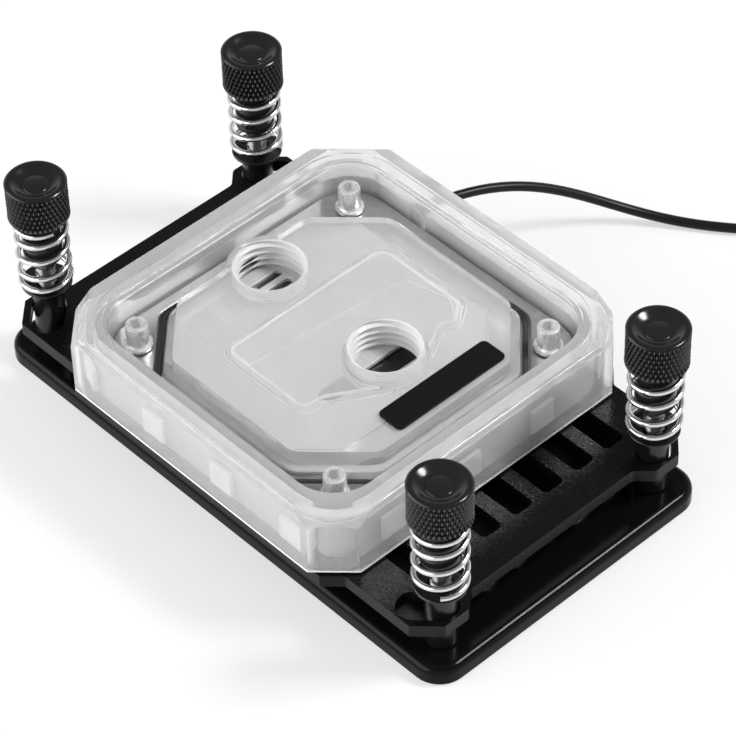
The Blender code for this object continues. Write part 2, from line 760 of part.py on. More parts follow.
# Light ring: square tube profile with corner facets that lean in near the top
def make_light_ring():
    slope_base = RING_TOP - RING_SLOPE_HEIGHT
    loops = [octagon(RING_HALF, RING_FACET)]
    loops.append(rectangle(-RING_INNER, -RING_INNER, RING_INNER, RING_INNER, RING_INNER_CORNER, 6))
    body = outline_solid("light_ring", loops, RING_BASE, RING_TOP, FROSTED)
    reach = RING_HALF * 2
    for name, (sx, sy) in CORNERS.items():
        wedge = box("corner_wedge_" + name, (0.0, -reach, 0.0), (reach, reach, reach), None, cutters)
        diagonal = (2 * RING_HALF - RING_FACET) / math.sqrt(2)
        wedge.location = (sx * diagonal / math.sqrt(2), sy * diagonal / math.sqrt(2), slope_base)
        lean = math.atan2(RING_SLOPE_RUN / math.sqrt(2), RING_SLOPE_HEIGHT)
        wedge.rotation_euler = (0.0, -lean, math.atan2(sy, sx))
        cut(body, wedge)
    inner = RING_INNER + RING_INNER_WALL
    outer = RING_HALF - RING_OUTER_WALL
    channel = outline_solid(
        "light_channel",
        [rectangle(-outer, -outer, outer, outer, CHANNEL_OUTER_CORNER, 5),
         rectangle(-inner, -inner, inner, inner, CHANNEL_CORNER, 5)],
        RING_BASE - RING_ROOF, RING_TOP - RING_ROOF, None, cutters,
    )
    cut(body, channel)
    notch = GLAND_RADIUS + SEAT_GAP
    passage = outline_solid(
        "cord_passage", [circle(0.0, 0.0, notch, 16)],
        -RING_OUTER_WALL, RING_OUTER_WALL, None, cutters,
    )
    passage.rotation_euler = (math.pi / 2, 0.0, 0.0)
    passage.location = (CORD_EXIT_X, RING_HALF - RING_OUTER_WALL / 2, RING_BASE + CORD_EXIT_LIFT)
    cut(body, passage)
    smooth(body)


# LED strip against the channel's inner wall, with its chips facing outwards
def strip_place(at, half, radius):
    """Point and outward direction on the strip's outer face, from the middle of the -Y side."""
    straight = 2 * (half - radius)
    quarter = straight + radius * math.pi / 2
    side = math.floor((at + straight / 2) / quarter)
    along = at + straight / 2 - side * quarter
    if along <= straight:
        x, y, facing = along - straight / 2, -half, -math.pi / 2
    else:
        facing = (along - straight) / radius - math.pi / 2
        x = straight / 2 + radius * math.cos(facing)
        y = -straight / 2 + radius * math.sin(facing)
    turn = side * math.pi / 2
    spot = (x * math.cos(turn) - y * math.sin(turn), x * math.sin(turn) + y * math.cos(turn))
    return spot, facing + turn


def make_leds():
    inner = RING_INNER + RING_INNER_WALL + SEAT_GAP
    radius = CHANNEL_CORNER + SEAT_GAP
    outer = inner + STRIP_THICK
    low = RING_BASE + STRIP_LIFT
    strip = outline_solid(
        "led_strip",
        [rectangle(-outer, -outer, outer, outer, radius + STRIP_THICK, 5),
         rectangle(-inner, -inner, inner, inner, radius, 5)],
        low, low + STRIP_HEIGHT, STRIP_WHITE,
    )
    gap_x = CORD_EXIT_X + GLAND_RADIUS + SEAT_GAP
    split = box(
        "strip_split", (gap_x, inner / 2, low - STRIP_HEIGHT), (gap_x + STRIP_SPLIT, outer * 1.5, low + 2 * STRIP_HEIGHT),
        None, cutters,
    )
    cut(strip, split)
    chip = bpy.data.meshes.new("led_chip")
    work = bmesh.new()
    bmesh.ops.create_cube(work, size=1.0)
    bmesh.ops.scale(work, vec=(CHIP_THICK, CHIP_SIZE, CHIP_SIZE), verts=work.verts)
    work.to_mesh(chip)
    work.free()
    stand = SEAT_GAP + CHIP_THICK / 2
    middle = RING_BASE + CHIP_LIFT + CHIP_SIZE / 2
    turn = radius + STRIP_THICK
    around = 8 * (outer - turn) + 2 * math.pi * turn
    pitch = (around - 1.5 * STRIP_SPLIT) / CHIP_COUNT
    for index in range(CHIP_COUNT):
        at = CHIP_START + (index - CHIPS_BEFORE) * pitch
        (x, y), facing = strip_place(at, outer, turn)
        spot = (x + stand * math.cos(facing), y + stand * math.sin(facing), middle)
        made = place("led_chip_%02d" % (index + 1), chip, CHIP_WHITE, parts, spot)
        made.rotation_euler.z = facing


def make_label():
    half_x, half_y = LABEL_WIDTH / 2, LABEL_LENGTH / 2
    outline = rectangle(LABEL_X - half_x, LABEL_Y - half_y, LABEL_X + half_x, LABEL_Y + half_y, LABEL_CORNER)
    low = LID_TOP + SEAT_GAP
    outline_solid("label_plate", [outline], low, low + LABEL_THICK, LABEL_BLACK)


# Thumb screws: dished head, plain collar inside the spring, stem into the standoff
def make_thumb_screws():
    top = HEAD_BASE + HEAD_HEIGHT
    collar_end = HEAD_BASE - COLLAR_LENGTH
    profile = [
        (0.0, top - DISH_DEPTH * 0.7),
        (DISC_RADIUS, top - DISH_DEPTH * 0.7),
        (DISC_RADIUS + 0.0002, top - DISH_DEPTH),
        (DISH_RADIUS - 0.0006, top - DISH_DEPTH),
        (DISH_RADIUS, top - 0.0001),
        (DISH_RADIUS + 0.0003, top),
        (HEAD_RADIUS - 0.0004, top),
        (HEAD_RADIUS, top - 0.0004),
        (HEAD_RADIUS, HEAD_BASE + HEAD_CHAMFER),
        (HEAD_RADIUS - HEAD_CHAMFER, HEAD_BASE),
        (COLLAR_RADIUS, HEAD_BASE),
        (COLLAR_RADIUS, collar_end + 0.0004),
        (COLLAR_RADIUS - 0.0004, collar_end),
        (STEM_RADIUS, collar_end),
        (STEM_RADIUS, POST_TOP - STEM_ENGAGED + 0.0004),
        (STEM_RADIUS - 0.0004, POST_TOP - STEM_ENGAGED),
        (0.0, POST_TOP - STEM_ENGAGED),
    ]
    for name, (x, y) in SCREW_AT.items():
        turned("thumb_screw_" + name, profile, 24, ANODISED, location=(x, y, 0.0))


def make_washers():
    hole = STEM_RADIUS + SEAT_GAP
    profile = [(hole, WASHER_TOP), (WASHER_RADIUS, WASHER_TOP), (WASHER_RADIUS, WASHER_BASE), (hole, WASHER_BASE)]
    for name, (x, y) in SCREW_AT.items():
        turned("spring_washer_" + name, profile, 24, POST_BLACK, closed=True, location=(x, y, 0.0))


# Springs: closed first turn, open turns, and an end that flattens under the head
def spring_height(turn):
    low = SPRING_BASE + SPRING_WIRE / 2
    high = SPRING_TOP - SPRING_WIRE / 2
    share = turn / SPRING_TURNS
    eased = share * share * (3 - 2 * share)
    return low + (high - low) * (0.4 * share + 0.6 * eased)


def make_springs():
    per_turn = 12
    count = int(SPRING_TURNS * per_turn) + 1
    for name, (x, y) in SCREW_AT.items():
        points = []
        for step in range(count):
            turn = SPRING_TURNS * step / (count - 1)
            angle = 2 * math.pi * (turn + SPRING_PHASE[name]) - math.pi / 4
            points.append((
                x + SPRING_RADIUS * math.cos(angle),
                y + SPRING_RADIUS * math.sin(angle),
                spring_height(turn),
            ))
        tube("spring_" + name, points, SPRING_WIRE / 2, CHROME)


# LED cord: gland in the ring's wall, the free stretch, its coiled rest and the connector
def make_cord():
    wall = RING_HALF - RING_OUTER_WALL
    height = RING_BASE + CORD_EXIT_LIFT
    out = RING_HALF + GLAND_LENGTH
    profile = [
        (0.0, out), (GLAND_RADIUS * 0.8, out), (GLAND_RADIUS, out - GLAND_RADIUS * 0.2),
        (GLAND_FLANGE, RING_HALF + SEAT_GAP + 0.0006), (GLAND_FLANGE, RING_HALF + SEAT_GAP),
        (GLAND_RADIUS, RING_HALF + SEAT_GAP), (GLAND_RADIUS, wall + SEAT_GAP), (0.0, wall + SEAT_GAP),
    ]
    gland = turned("cord_gland", profile, 16, RUBBER)
    gland.rotation_euler = (-math.pi / 2, 0.0, 0.0)
    gland.location = (CORD_EXIT_X, 0.0, height)
    rest = CORD_RADIUS + TABLE_GAP
    start = out + SEAT_GAP
    bends = [
        (0.0, 0.0, height), (0.0010, 0.0030, height + 0.0002), (0.0034, 0.0106, 0.0135),
        (0.0068, 0.0189, 0.0110), (0.0111, 0.0265, 0.0070), (0.0165, 0.0329, 0.0032),
        (0.0232, 0.0382, 0.0013), (0.0300, 0.0430, rest), (0.0362, 0.0481, rest), (0.0412, 0.0525, rest),
    ]
    knots = [(CORD_EXIT_X + x, start + y, z) for x, y, z in bends]
    points = smooth_route(knots, 30)
    points = [(x, y, max(z, rest)) for x, y, z in points]
    tube("led_cord", points, CORD_RADIUS, CORD_BLACK)
    far = points[-1]
    heading = math.atan2(points[-1][1] - points[-2][1], points[-1][0] - points[-2][0])
    outer = COIL_RADIUS + COIL_WIDTH / 2
    aside = outer - CORD_RADIUS
    ahead = math.sqrt(outer ** 2 - (aside - CORD_RADIUS) ** 2) + SEAT_GAP
    middle = (
        far[0] + ahead * math.cos(heading) + aside * math.sin(heading),
        far[1] + ahead * math.sin(heading) - aside * math.cos(heading),
    )
    inner = COIL_RADIUS - COIL_WIDTH / 2
    low, high = TABLE_GAP, TABLE_GAP + COIL_HEIGHT
    edge = COIL_HEIGHT * 0.3
    profile = [
        (inner + edge, high), (outer - edge, high), (outer, high - edge), (outer, low + edge),
        (outer - edge, low), (inner + edge, low), (inner, low + edge), (inner, high - edge),
    ]
    turned("cord_coil", profile, 28, CORD_BLACK, closed=True, location=(*middle, 0.0))
    plug = box(
        "led_connector", (0.0, -PLUG_WIDTH / 2, 0.0), (PLUG_LENGTH, PLUG_WIDTH / 2, PLUG_HEIGHT), PLUG_BLACK,
    )
    plug.location = (middle[0] + outer + SEAT_GAP, middle[1], TABLE_GAP)
    bevel(plug, 0.0006)


make_backplate()
make_standoffs()
make_bracket()
make_cold_plate()
make_jet_plate()
make_clear_top()
make_oring()
make_clamp_frame()
make_clamp_screws()
make_light_ring()
make_leds()
make_label()
make_washers()
make_springs()
make_thumb_screws()
make_cord()
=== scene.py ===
import bisect
import json
import math

import bmesh
import bpy
from mathutils import Matrix, Vector


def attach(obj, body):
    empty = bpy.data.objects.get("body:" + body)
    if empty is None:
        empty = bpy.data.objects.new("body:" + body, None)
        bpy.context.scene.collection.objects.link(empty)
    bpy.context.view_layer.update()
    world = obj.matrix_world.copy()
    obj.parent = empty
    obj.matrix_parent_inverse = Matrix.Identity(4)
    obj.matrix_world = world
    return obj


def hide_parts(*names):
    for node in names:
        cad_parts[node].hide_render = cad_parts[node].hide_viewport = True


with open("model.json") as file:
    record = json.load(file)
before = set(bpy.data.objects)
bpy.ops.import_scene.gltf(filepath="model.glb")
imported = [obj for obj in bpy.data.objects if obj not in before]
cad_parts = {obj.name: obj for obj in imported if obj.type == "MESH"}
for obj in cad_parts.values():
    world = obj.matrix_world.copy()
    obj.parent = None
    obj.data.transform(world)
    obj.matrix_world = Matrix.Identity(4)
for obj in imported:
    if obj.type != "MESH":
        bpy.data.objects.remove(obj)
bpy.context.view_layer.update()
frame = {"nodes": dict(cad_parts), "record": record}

MM = 0.001
TURN = 2 * math.pi

# Plan, in metres from the middle of the block
CORNERS = {"front": (1, -1), "right": (1, 1), "back": (-1, 1), "left": (-1, -1)}
SCREW_X, SCREW_Y = 48 * MM, 24 * MM
CLAMP_HALF = 24 * MM
PORTS = ((-20.1 * MM, 2.1 * MM), (7.6 * MM, 2.6 * MM))
RING_HALF = 34.5 * MM

# Levels of the stack, in metres from the table
PLATE_TOP = 3.6 * MM
BRACKET_LOW, BRACKET_TOP = 8.8 * MM, 11.2 * MM
FLANGE_LOW, FLANGE_TOP = 11.5 * MM, 14.4 * MM
RING_LOW, RING_TOP = 11.5 * MM, 24.7 * MM
JET_LOW, JET_TOP = 14.7 * MM, 15.5 * MM
TOP_LOW, RIM_TOP, SEAT_TOP = 14.7 * MM, 15.6 * MM, 16.5 * MM
SHOULDER_TOP, LID_TOP = 18.8 * MM, 21.8 * MM
LABEL_LOW, LABEL_TOP = 22.1 * MM, 22.6 * MM
POST_TOP = 16.1 * MM
COLLAR_LOW = 22.6 * MM
HEAD_LOW, HEAD_TOP = 31.4 * MM, 39.4 * MM

# Camera, fitted to the photograph: degrees, metres, then pixels and millimetres
AZIMUTH, ELEVATION, ROLL = 47.942, 44.746, -1.741
CAMERA_SPOT = Vector((315.17, -278.91, 429.96)) * MM
FOCAL_PIXELS, PICTURE_PIXELS, SENSOR_WIDTH = 3559.2, 736, 36

# Acrylic: at a transmission of 0.72 the chips and the chamber's lines no longer show
CLEARNESS, ACRYLIC_IOR = 0.765, 1.49
# Part of the noise's range that the shades are spread over
NOISE_LOW, NOISE_HIGH = 0.3, 0.7
LEAST_ROUGHNESS = 0.02

# Port thread and knurl
THREAD_MINOR, THREAD_MAJOR, THREAD_PITCH = 5.75 * MM, 6.55 * MM, 1.337 * MM
KNURLS, KNURL_PERIOD, KNURL_DEPTH, KNURL_FLAT = 40, 2.0 * MM, 0.42 * MM, 0.85
# Knurl's painted-light value where a head has no knurl, close to the painted shade of the grooves
UNKNURLED_LIGHT = 0.5

# Cord: height of its middle line on the table, then its coil and the plug beside it
CORD_REST = 1.0 * MM
COIL_OUTER, COIL_PITCH = 13.1 * MM, 1.85 * MM
COIL_LEAVE = math.radians(22)
PLUG_GAP = 0.3 * MM


def new_object(name, data):
    body = bpy.data.objects.new(name, data)
    bpy.context.scene.collection.objects.link(body)
    return body


def aim_camera():
    azimuth, elevation, roll = (math.radians(angle) for angle in (AZIMUTH, ELEVATION, ROLL))
    flat = math.cos(elevation)
    back = Vector((math.sin(azimuth) * flat, -math.cos(azimuth) * flat, math.sin(elevation)))
    right = Vector((0, 0, 1)).cross(back).normalized()
    up = back.cross(right)
    turned_right = right * math.cos(roll) + up * math.sin(roll)
    turned_up = up * math.cos(roll) - right * math.sin(roll)
    matrix = Matrix((turned_right, turned_up, back)).transposed().to_4x4()
    matrix.translation = CAMERA_SPOT
    data = bpy.data.cameras.new("camera")
    data.sensor_width = SENSOR_WIDTH
    data.lens = FOCAL_PIXELS / PICTURE_PIXELS * SENSOR_WIDTH
    data.clip_start, data.clip_end = 0.02, 50
    camera = new_object("camera", data)
    camera.matrix_world = matrix
    bpy.context.scene.camera = camera


aim_camera()


# Materials
def triple(value):
    """Three equal numbers, or the three that are given."""
    return value if isinstance(value, tuple) else (value,) * 3


def set_inputs(node, values):
    for socket, value in values.items():
        node.inputs[socket].default_value = value


def ramp_colour(tree, source, low, high):
    """Base colour that follows a value between two (position, colour) stops."""
    ramp = tree.nodes.new("ShaderNodeValToRGB")
    for stop, (position, colour) in zip(ramp.color_ramp.elements, (low, high)):
        stop.position = position
        stop.color = (*colour, 1)
    tree.links.new(source, ramp.inputs["Fac"])
    tree.links.new(ramp.outputs["Color"], tree.nodes["Principled BSDF"].inputs["Base Color"])


def map_range(tree, source, before, after):
    """Output socket of a value carried from one (low, high) range to another."""
    node = tree.nodes.new("ShaderNodeMapRange")
    set_inputs(node, {"From Min": before[0], "From Max": before[1], "To Min": after[0], "To Max": after[1]})
    tree.links.new(source, node.inputs["Value"])
    return node.outputs["Result"]


def material(name, colour, rough, metallic=0.0, transmission=0.0, ior=1.45, specular=0.5,
             grain=900, shade=0.0, rough_shade=0.0, bump=0.0, depth=0.05 * MM):
    """Shader whose colour, roughness and relief can all follow one noise."""
    made = bpy.data.materials.new(name)
    made.use_nodes = True
    tree = made.node_tree
    shader = tree.nodes["Principled BSDF"]
    colour = triple(colour)
    set_inputs(shader, {
        "Base Color": (*colour, 1), "Roughness": rough, "Metallic": metallic,
        "Transmission Weight": transmission, "IOR": ior, "Specular IOR Level": specular,
    })
    place = tree.nodes.new("ShaderNodeTexCoord")
    stretch = tree.nodes.new("ShaderNodeMapping")
    noise = tree.nodes.new("ShaderNodeTexNoise")
    set_inputs(stretch, {"Scale": triple(grain)})
    set_inputs(noise, {"Scale": 1.0, "Detail": 4.0})
    tree.links.new(place.outputs["Object"], stretch.inputs["Vector"])
    tree.links.new(stretch.outputs["Vector"], noise.inputs["Vector"])
    level = noise.outputs["Fac"]
    if shade:
        dark = [part * (1 - shade) for part in colour]
        light = [min(1, part * (1 + shade)) for part in colour]
        ramp_colour(tree, level, (NOISE_LOW, dark), (NOISE_HIGH, light))
    if rough_shade:
        roughness = (max(LEAST_ROUGHNESS, rough - rough_shade), rough + rough_shade)
        spread = map_range(tree, level, (NOISE_LOW, NOISE_HIGH), roughness)
        tree.links.new(spread, shader.inputs["Roughness"])
    if bump:
        relief = tree.nodes.new("ShaderNodeBump")
        set_inputs(relief, {"Strength": bump, "Distance": depth})
        tree.links.new(level, relief.inputs["Height"])
        tree.links.new(relief.outputs["Normal"], shader.inputs["Normal"])
    return made


FINISH = {
    "gloss_black_steel": material("gloss_black", (0.003, 0.003, 0.0032), 0.18, specular=0.12, grain=700,
                                  rough_shade=0.04, bump=0.12, depth=0.02 * MM),
    "satin_black_steel": material("satin_black", (0.003, 0.003, 0.0032), 0.26, specular=0.22, grain=2500,
                                  shade=0.15, rough_shade=0.05, bump=0.12, depth=0.01 * MM),
    "black_oxide": material("black_oxide", 0.006, 0.22, grain=(1500, 1500, 4000), rough_shade=0.06),
    "black_anodised": material("black_anodised", (0.007, 0.007, 0.0072), 0.17, specular=0.35, grain=2500,
                               rough_shade=0.04, bump=0.08, depth=0.01 * MM),
    "nickel": material("nickel", (0.5, 0.5, 0.495), 0.36, metallic=1.0,
                       shade=0.1, rough_shade=0.06, bump=0.05, depth=0.01 * MM),
    "nickel_plated_copper": material("plated_copper", (0.72, 0.71, 0.7), 0.4, metallic=0.7,
                                     grain=(2000, 60, 2000), shade=0.03, rough_shade=0.04),
    "stainless": material("stainless", 0.8, 0.45, metallic=0.6,
                          grain=(80, 4000, 4000), shade=0.1, rough_shade=0.08),
    "chrome": material("chrome", (0.7, 0.7, 0.71), 0.14, metallic=1.0,
                       grain=3000, shade=0.04, rough_shade=0.04),
    "rubber": material("rubber", 0.03, 0.5, grain=2500, shade=0.3, bump=0.2),
    "clear_acrylic": material("clear_acrylic", 0.99, 0.07, transmission=CLEARNESS, ior=ACRYLIC_IOR,
                              grain=170, shade=0.05, rough_shade=0.03),
    "cut_acrylic": material("cut_acrylic", 0.78, 0.4, transmission=0.35, ior=ACRYLIC_IOR, specular=0.2,
                            shade=0.03, rough_shade=0.06),
    # Opaque white acrylic as a painted highlight: on the ring's bottom outer edge and on the chamber's edges
    "highlight_acrylic": material("highlight_acrylic", 0.98, 0.35, ior=ACRYLIC_IOR, specular=0.4,
                             shade=0.02, rough_shade=0.05),
    "frosted_acrylic": material("frosted_acrylic", 0.99, 0.1, transmission=CLEARNESS, ior=ACRYLIC_IOR,
                                grain=150, shade=0.04, rough_shade=0.03),
    "strip_white": material("strip_white", 0.58, 0.45, grain=2000, shade=0.08, bump=0.1),
    "chip_white": material("chip_white", (0.97, 0.97, 0.96), 0.3, grain=2000, shade=0.05),
    "label_black": material("label_black", 0.003, 0.38, specular=0.2,
                            grain=3000, rough_shade=0.05, bump=0.08),
    "cord_black": material("cord_black", 0.006, 0.35, specular=0.25, grain=2500, shade=0.25, bump=0.15),
    "stem_steel": material("stem_steel", (0.16, 0.16, 0.165), 0.22, metallic=1.0,
                           grain=(80, 80, 3000), shade=0.15, rough_shade=0.06),
    "screw_nickel": material("screw_nickel", 0.86, 0.3, metallic=0.75,
                             grain=1500, shade=0.05, rough_shade=0.06),
    # Fins darkened far below the plated copper they belong to: painted shade down in the pocket
    "shaded_fin_copper": material("shaded_fin_copper", 0.12, 0.4, metallic=0.9,
                           grain=(60, 3000, 3000), shade=0.2, rough_shade=0.08),
    "plug_black": material("plug_black", 0.01, 0.35, specular=0.4, grain=3000, shade=0.2, bump=0.15),
}


def paint_knurl_light(made, dark, bright):
    """Painted highlight on the knurl's tips and painted shade in its grooves, from the value kept in the
    mesh.
    """
    tree = made.node_tree
    read = tree.nodes.new("ShaderNodeAttribute")
    read.attribute_name = "knurl_light"
    ramp_colour(tree, read.outputs["Fac"], (0.45, triple(dark)), (0.95, triple(bright)))


# Thumb heads: painted shade in the knurl's grooves, painted highlight on its tips
paint_knurl_light(FINISH["black_anodised"], 0.001, 0.08)
for entry in frame["record"]["subparts"]:
    node = frame["nodes"][entry["node"]]
    node.data.materials.clear()
    node.data.materials.append(FINISH[entry["material_slot"]])


# Bodies
def dress(body, slot_name, rides="block", stands_for=(), finish=None):
    body.data.materials.clear()
    body.data.materials.append(FINISH[finish or slot_name])
    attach(body, rides)
    if stands_for:
        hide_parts(*stands_for)
    return body


def crisp(body, angle=32.0):
    """Smooth shading with flat faces kept flat."""
    body.data.shade_smooth()
    body.data.set_sharp_from_angle(angle=math.radians(angle))
    step = body.modifiers.new("normals", "WEIGHTED_NORMAL")
    step.keep_sharp = True
    step.weight = 80
    return body


def mesh_object(name, work):
    """Object from a bmesh, which is freed."""
    mesh = bpy.data.meshes.new(name)
    work.to_mesh(mesh)
    work.free()
    return new_object(name, mesh)


def evaluated_mesh(body):
    bpy.context.view_layer.update()
    return bpy.data.meshes.new_from_object(body.evaluated_get(bpy.context.evaluated_depsgraph_get()))


# Outlines
def rounded(corners, segments=4):
    """Outline through (x, y, radius) corners, each turned into an arc."""
    least_radius, most_of_side = 0.01 * MM, 0.49
    points = []
    count = len(corners)
    for index, (x, y, radius) in enumerate(corners):
        before, after = corners[index - 1], corners[(index + 1) % count]
        radius = max(radius, least_radius)
        ax, ay = before[0] - x, before[1] - y
        bx, by = after[0] - x, after[1] - y
        a_length, b_length = math.hypot(ax, ay), math.hypot(bx, by)
        ax, ay, bx, by = ax / a_length, ay / a_length, bx / b_length, by / b_length
        half = math.acos(max(-1.0, min(1.0, ax * bx + ay * by))) / 2
        reach = min(radius / math.tan(half), most_of_side * a_length, most_of_side * b_length)
        radius = reach * math.tan(half)
        mx, my = ax + bx, ay + by
        middle = math.hypot(mx, my)
        cx = x + mx / middle * radius / math.sin(half)
        cy = y + my / middle * radius / math.sin(half)
        start = math.atan2(y + ay * reach - cy, x + ax * reach - cx)
        end = math.atan2(y + by * reach - cy, x + bx * reach - cx)
        sweep = (end - start + math.pi) % TURN - math.pi
        for step in range(segments + 1):
            angle = start + sweep * step / segments
            points.append((cx + radius * math.cos(angle), cy + radius * math.sin(angle)))
    return points


def rounded_mm(corners, segments):
    return rounded([(x * MM, y * MM, radius * MM) for x, y, radius in corners], segments)


def rectangle(low_x, low_y, high_x, high_y, radius, segments=6):
    corners = [(low_x, low_y), (high_x, low_y), (high_x, high_y), (low_x, high_y)]
    return rounded([(x, y, radius) for x, y in corners], segments)


def square(half, radius, segments=6):
    return rectangle(-half, -half, half, half, radius, segments)


def octagon(half, leg, radius, segments=4):
    """Square with its corners cut off, leg long on each side."""
    corners = []
    for sx, sy in ((-1, -1), (1, -1), (1, 1), (-1, 1)):
        pair = [(sx * half, sy * (half - leg)), (sx * (half - leg), sy * half)]
        if sx * sy < 0:
            pair.reverse()
        corners += [(x, y, radius) for x, y in pair]
    return rounded(corners, segments)


def cut_rectangle(low_x, high_x, half_y, cut):
    return [(low_x + cut, -half_y), (high_x - cut, -half_y), (high_x, -half_y + cut), (high_x, half_y - cut),
            (high_x - cut, half_y), (low_x + cut, half_y), (low_x, half_y - cut), (low_x, -half_y + cut)]


def obround(a, b, radius, segments):
    """Slot round two centres."""
    along = math.atan2(b[1] - a[1], b[0] - a[0])
    points = []
    for end, start in ((b, along - math.pi / 2), (a, along + math.pi / 2)):
        for step in range(segments + 1):
            angle = start + math.pi * step / segments
            points.append((end[0] + radius * math.cos(angle), end[1] + radius * math.sin(angle)))
    return points


def circle(x, y, radius, sides=48):
    turn = TURN / sides
    return [(x + radius * math.cos(turn * i), y + radius * math.sin(turn * i)) for i in range(sides)]


def shrink(loop, inset):
    """Outline moved inward, each point square to the line between its neighbours."""
    points = []
    for i, (x, y) in enumerate(loop):
        (ax, ay), (bx, by) = loop[i - 1], loop[(i + 1) % len(loop)]
        length = math.hypot(bx - ax, by - ay) or 1.0
        points.append((x - (by - ay) / length * inset, y + (bx - ax) / length * inset))
    return points


def arc_steps(radius, count):
    """(inset, rise) pairs round a quarter circle, from the wall to the top face."""
    angles = [math.pi / 2 * i / count for i in range(count + 1)]
    return [(radius * (1 - math.cos(angle)), radius * math.sin(angle)) for angle in angles]


def in_mm(rows, base=0.0):
    """Profile rows given in millimetres, their heights counted from base."""
    return [(radius * MM, base + height * MM) for radius, height in rows]


def eased(value, low, high):
    """0 below low, 1 above high, and a smooth step between them."""
    share = min(1.0, max(0.0, (value - low) / (high - low)))
    return share * share * (3 - 2 * share)


# Solids
def loft(name, levels, closed=False):
    """Closed solid through outlines of equal count, each (points, height)."""
    work = bmesh.new()
    rings = [[work.verts.new((x, y, z)) for x, y in loop] for loop, z in levels]
    pairs = list(zip(rings, rings[1:]))
    if closed:
        pairs.append((rings[-1], rings[0]))
    else:
        work.faces.new(rings[0][::-1])
        work.faces.new(rings[-1])
    for low, high in pairs:
        for i in range(len(low)):
            j = (i + 1) % len(low)
            work.faces.new((low[i], low[j], high[j], high[i]))
    bmesh.ops.recalc_face_normals(work, faces=work.faces)
    return mesh_object(name, work)


def prism(name, outline, low, high):
    return loft(name, [(outline, low), (outline, high)])


def flat_solid(name, loops, low, high, rim, segments=2):
    """Outline with holes, extruded, with its upper and lower rims rounded."""
    merge, flat_angle, level_within, least_angle = 0.002 * MM, 0.005, 0.001 * MM, 0.5
    curve = bpy.data.curves.new(name, "CURVE")
    curve.dimensions = "2D"
    curve.fill_mode = "BOTH"
    curve.extrude = (high - low) / 2
    for loop in loops:
        spline = curve.splines.new("POLY")
        spline.points.add(len(loop) - 1)
        for point, (x, y) in zip(spline.points, loop):
            point.co = (x, y, 0, 1)
        spline.use_cyclic_u = True
    holder = new_object(name + "_outline", curve)
    mesh = evaluated_mesh(holder)
    bpy.data.objects.remove(holder, do_unlink=True)
    mesh.name = name
    work = bmesh.new()
    work.from_mesh(mesh)
    bmesh.ops.remove_doubles(work, verts=work.verts, dist=merge)
    bmesh.ops.translate(work, verts=work.verts, vec=(0, 0, (low + high) / 2))
    bmesh.ops.dissolve_limit(work, angle_limit=flat_angle, verts=work.verts, edges=work.edges)
    chosen = []
    for edge in work.edges:
        level = abs(edge.verts[0].co.z - edge.verts[1].co.z) < level_within
        if level and len(edge.link_faces) == 2 and edge.calc_face_angle(0.0) > least_angle:
            chosen.append(edge)
    bmesh.ops.bevel(work, geom=chosen, offset=rim, offset_type="OFFSET", segments=segments,
                    profile=0.5, affect="EDGES", clamp_overlap=True)
    work.to_mesh(mesh)
    work.free()
    return new_object(name, mesh)


def lathe(name, profile, sides=48, at=(0, 0), relief=None):
    """Turned solid; profile is (radius, height[, relief depth]) from top axis to bottom axis."""
    work = bmesh.new()
    knurl_light = work.verts.layers.float.new("knurl_light") if relief else None
    rings = []
    for radius, height, *more in profile:
        depth = more[0] if more else 0.0
        ring = []
        for i in range(sides if radius > 0 else 1):
            angle = TURN * i / sides
            sunk = relief(angle, height) if depth else 0.0
            reach = radius - sunk * depth
            vert = work.verts.new((at[0] + reach * math.cos(angle), at[1] + reach * math.sin(angle), height))
            # Each vertex keeps the knurl's painted light: highlight on the tips, shade in the grooves
            if relief:
                vert[knurl_light] = 1 - sunk if depth else UNKNURLED_LIGHT
            ring.append(vert)
        rings.append(ring)
    for high, low in zip(rings, rings[1:]):
        for i in range(sides):
            j = (i + 1) % sides
            if len(high) == 1:
                work.faces.new((high[0], low[i], low[j]))
            elif len(low) == 1:
                work.faces.new((high[i], low[0], high[j]))
            else:
                work.faces.new((high[i], low[i], low[j], high[j]))
    bmesh.ops.recalc_face_normals(work, faces=work.faces)
    return mesh_object(name, work)


def lathe_ring(name, profile, sides, at):
    return loft(name, [(circle(*at, radius, sides), height) for radius, height in profile], closed=True)


def combine(body, other, operation):
    step = body.modifiers.new(operation.lower(), "BOOLEAN")
    step.operation = operation
    step.solver = "EXACT"
    step.object = other
    mesh = evaluated_mesh(body)
    body.modifiers.remove(step)
    body.data = mesh
    bpy.data.objects.remove(other, do_unlink=True)


def wire(name, points, radius, resolution=4, cyclic=False):
    curve = bpy.data.curves.new(name, "CURVE")
    curve.dimensions = "3D"
    curve.bevel_depth = radius
    curve.bevel_resolution = resolution
    curve.use_fill_caps = not cyclic
    spline = curve.splines.new("POLY")
    spline.points.add(len(points) - 1)
    for point, spot in zip(spline.points, points):
        point.co = (*spot, 1)
    spline.use_cyclic_u = cyclic
    spline.use_smooth = True
    return new_object(name, curve)


# Plates
def make_backplate():
    half_x, half_y, corner = 54.1 * MM, 30.5 * MM, 5 * MM
    foot, edge = 0.3 * MM, 1.4 * MM

    def outline(inset):
        x, y = half_x - inset, half_y - inset
        return rectangle(-x, -y, x, y, corner - inset, 10)

    levels = [(outline(foot), 0.0), (outline(0.0), foot)]
    levels += [(outline(inset), PLATE_TOP - edge + rise) for inset, rise in arc_steps(edge, 6)]
    dress(crisp(loft("base_plate", levels)), "gloss_black_steel", stands_for=["backplate"])


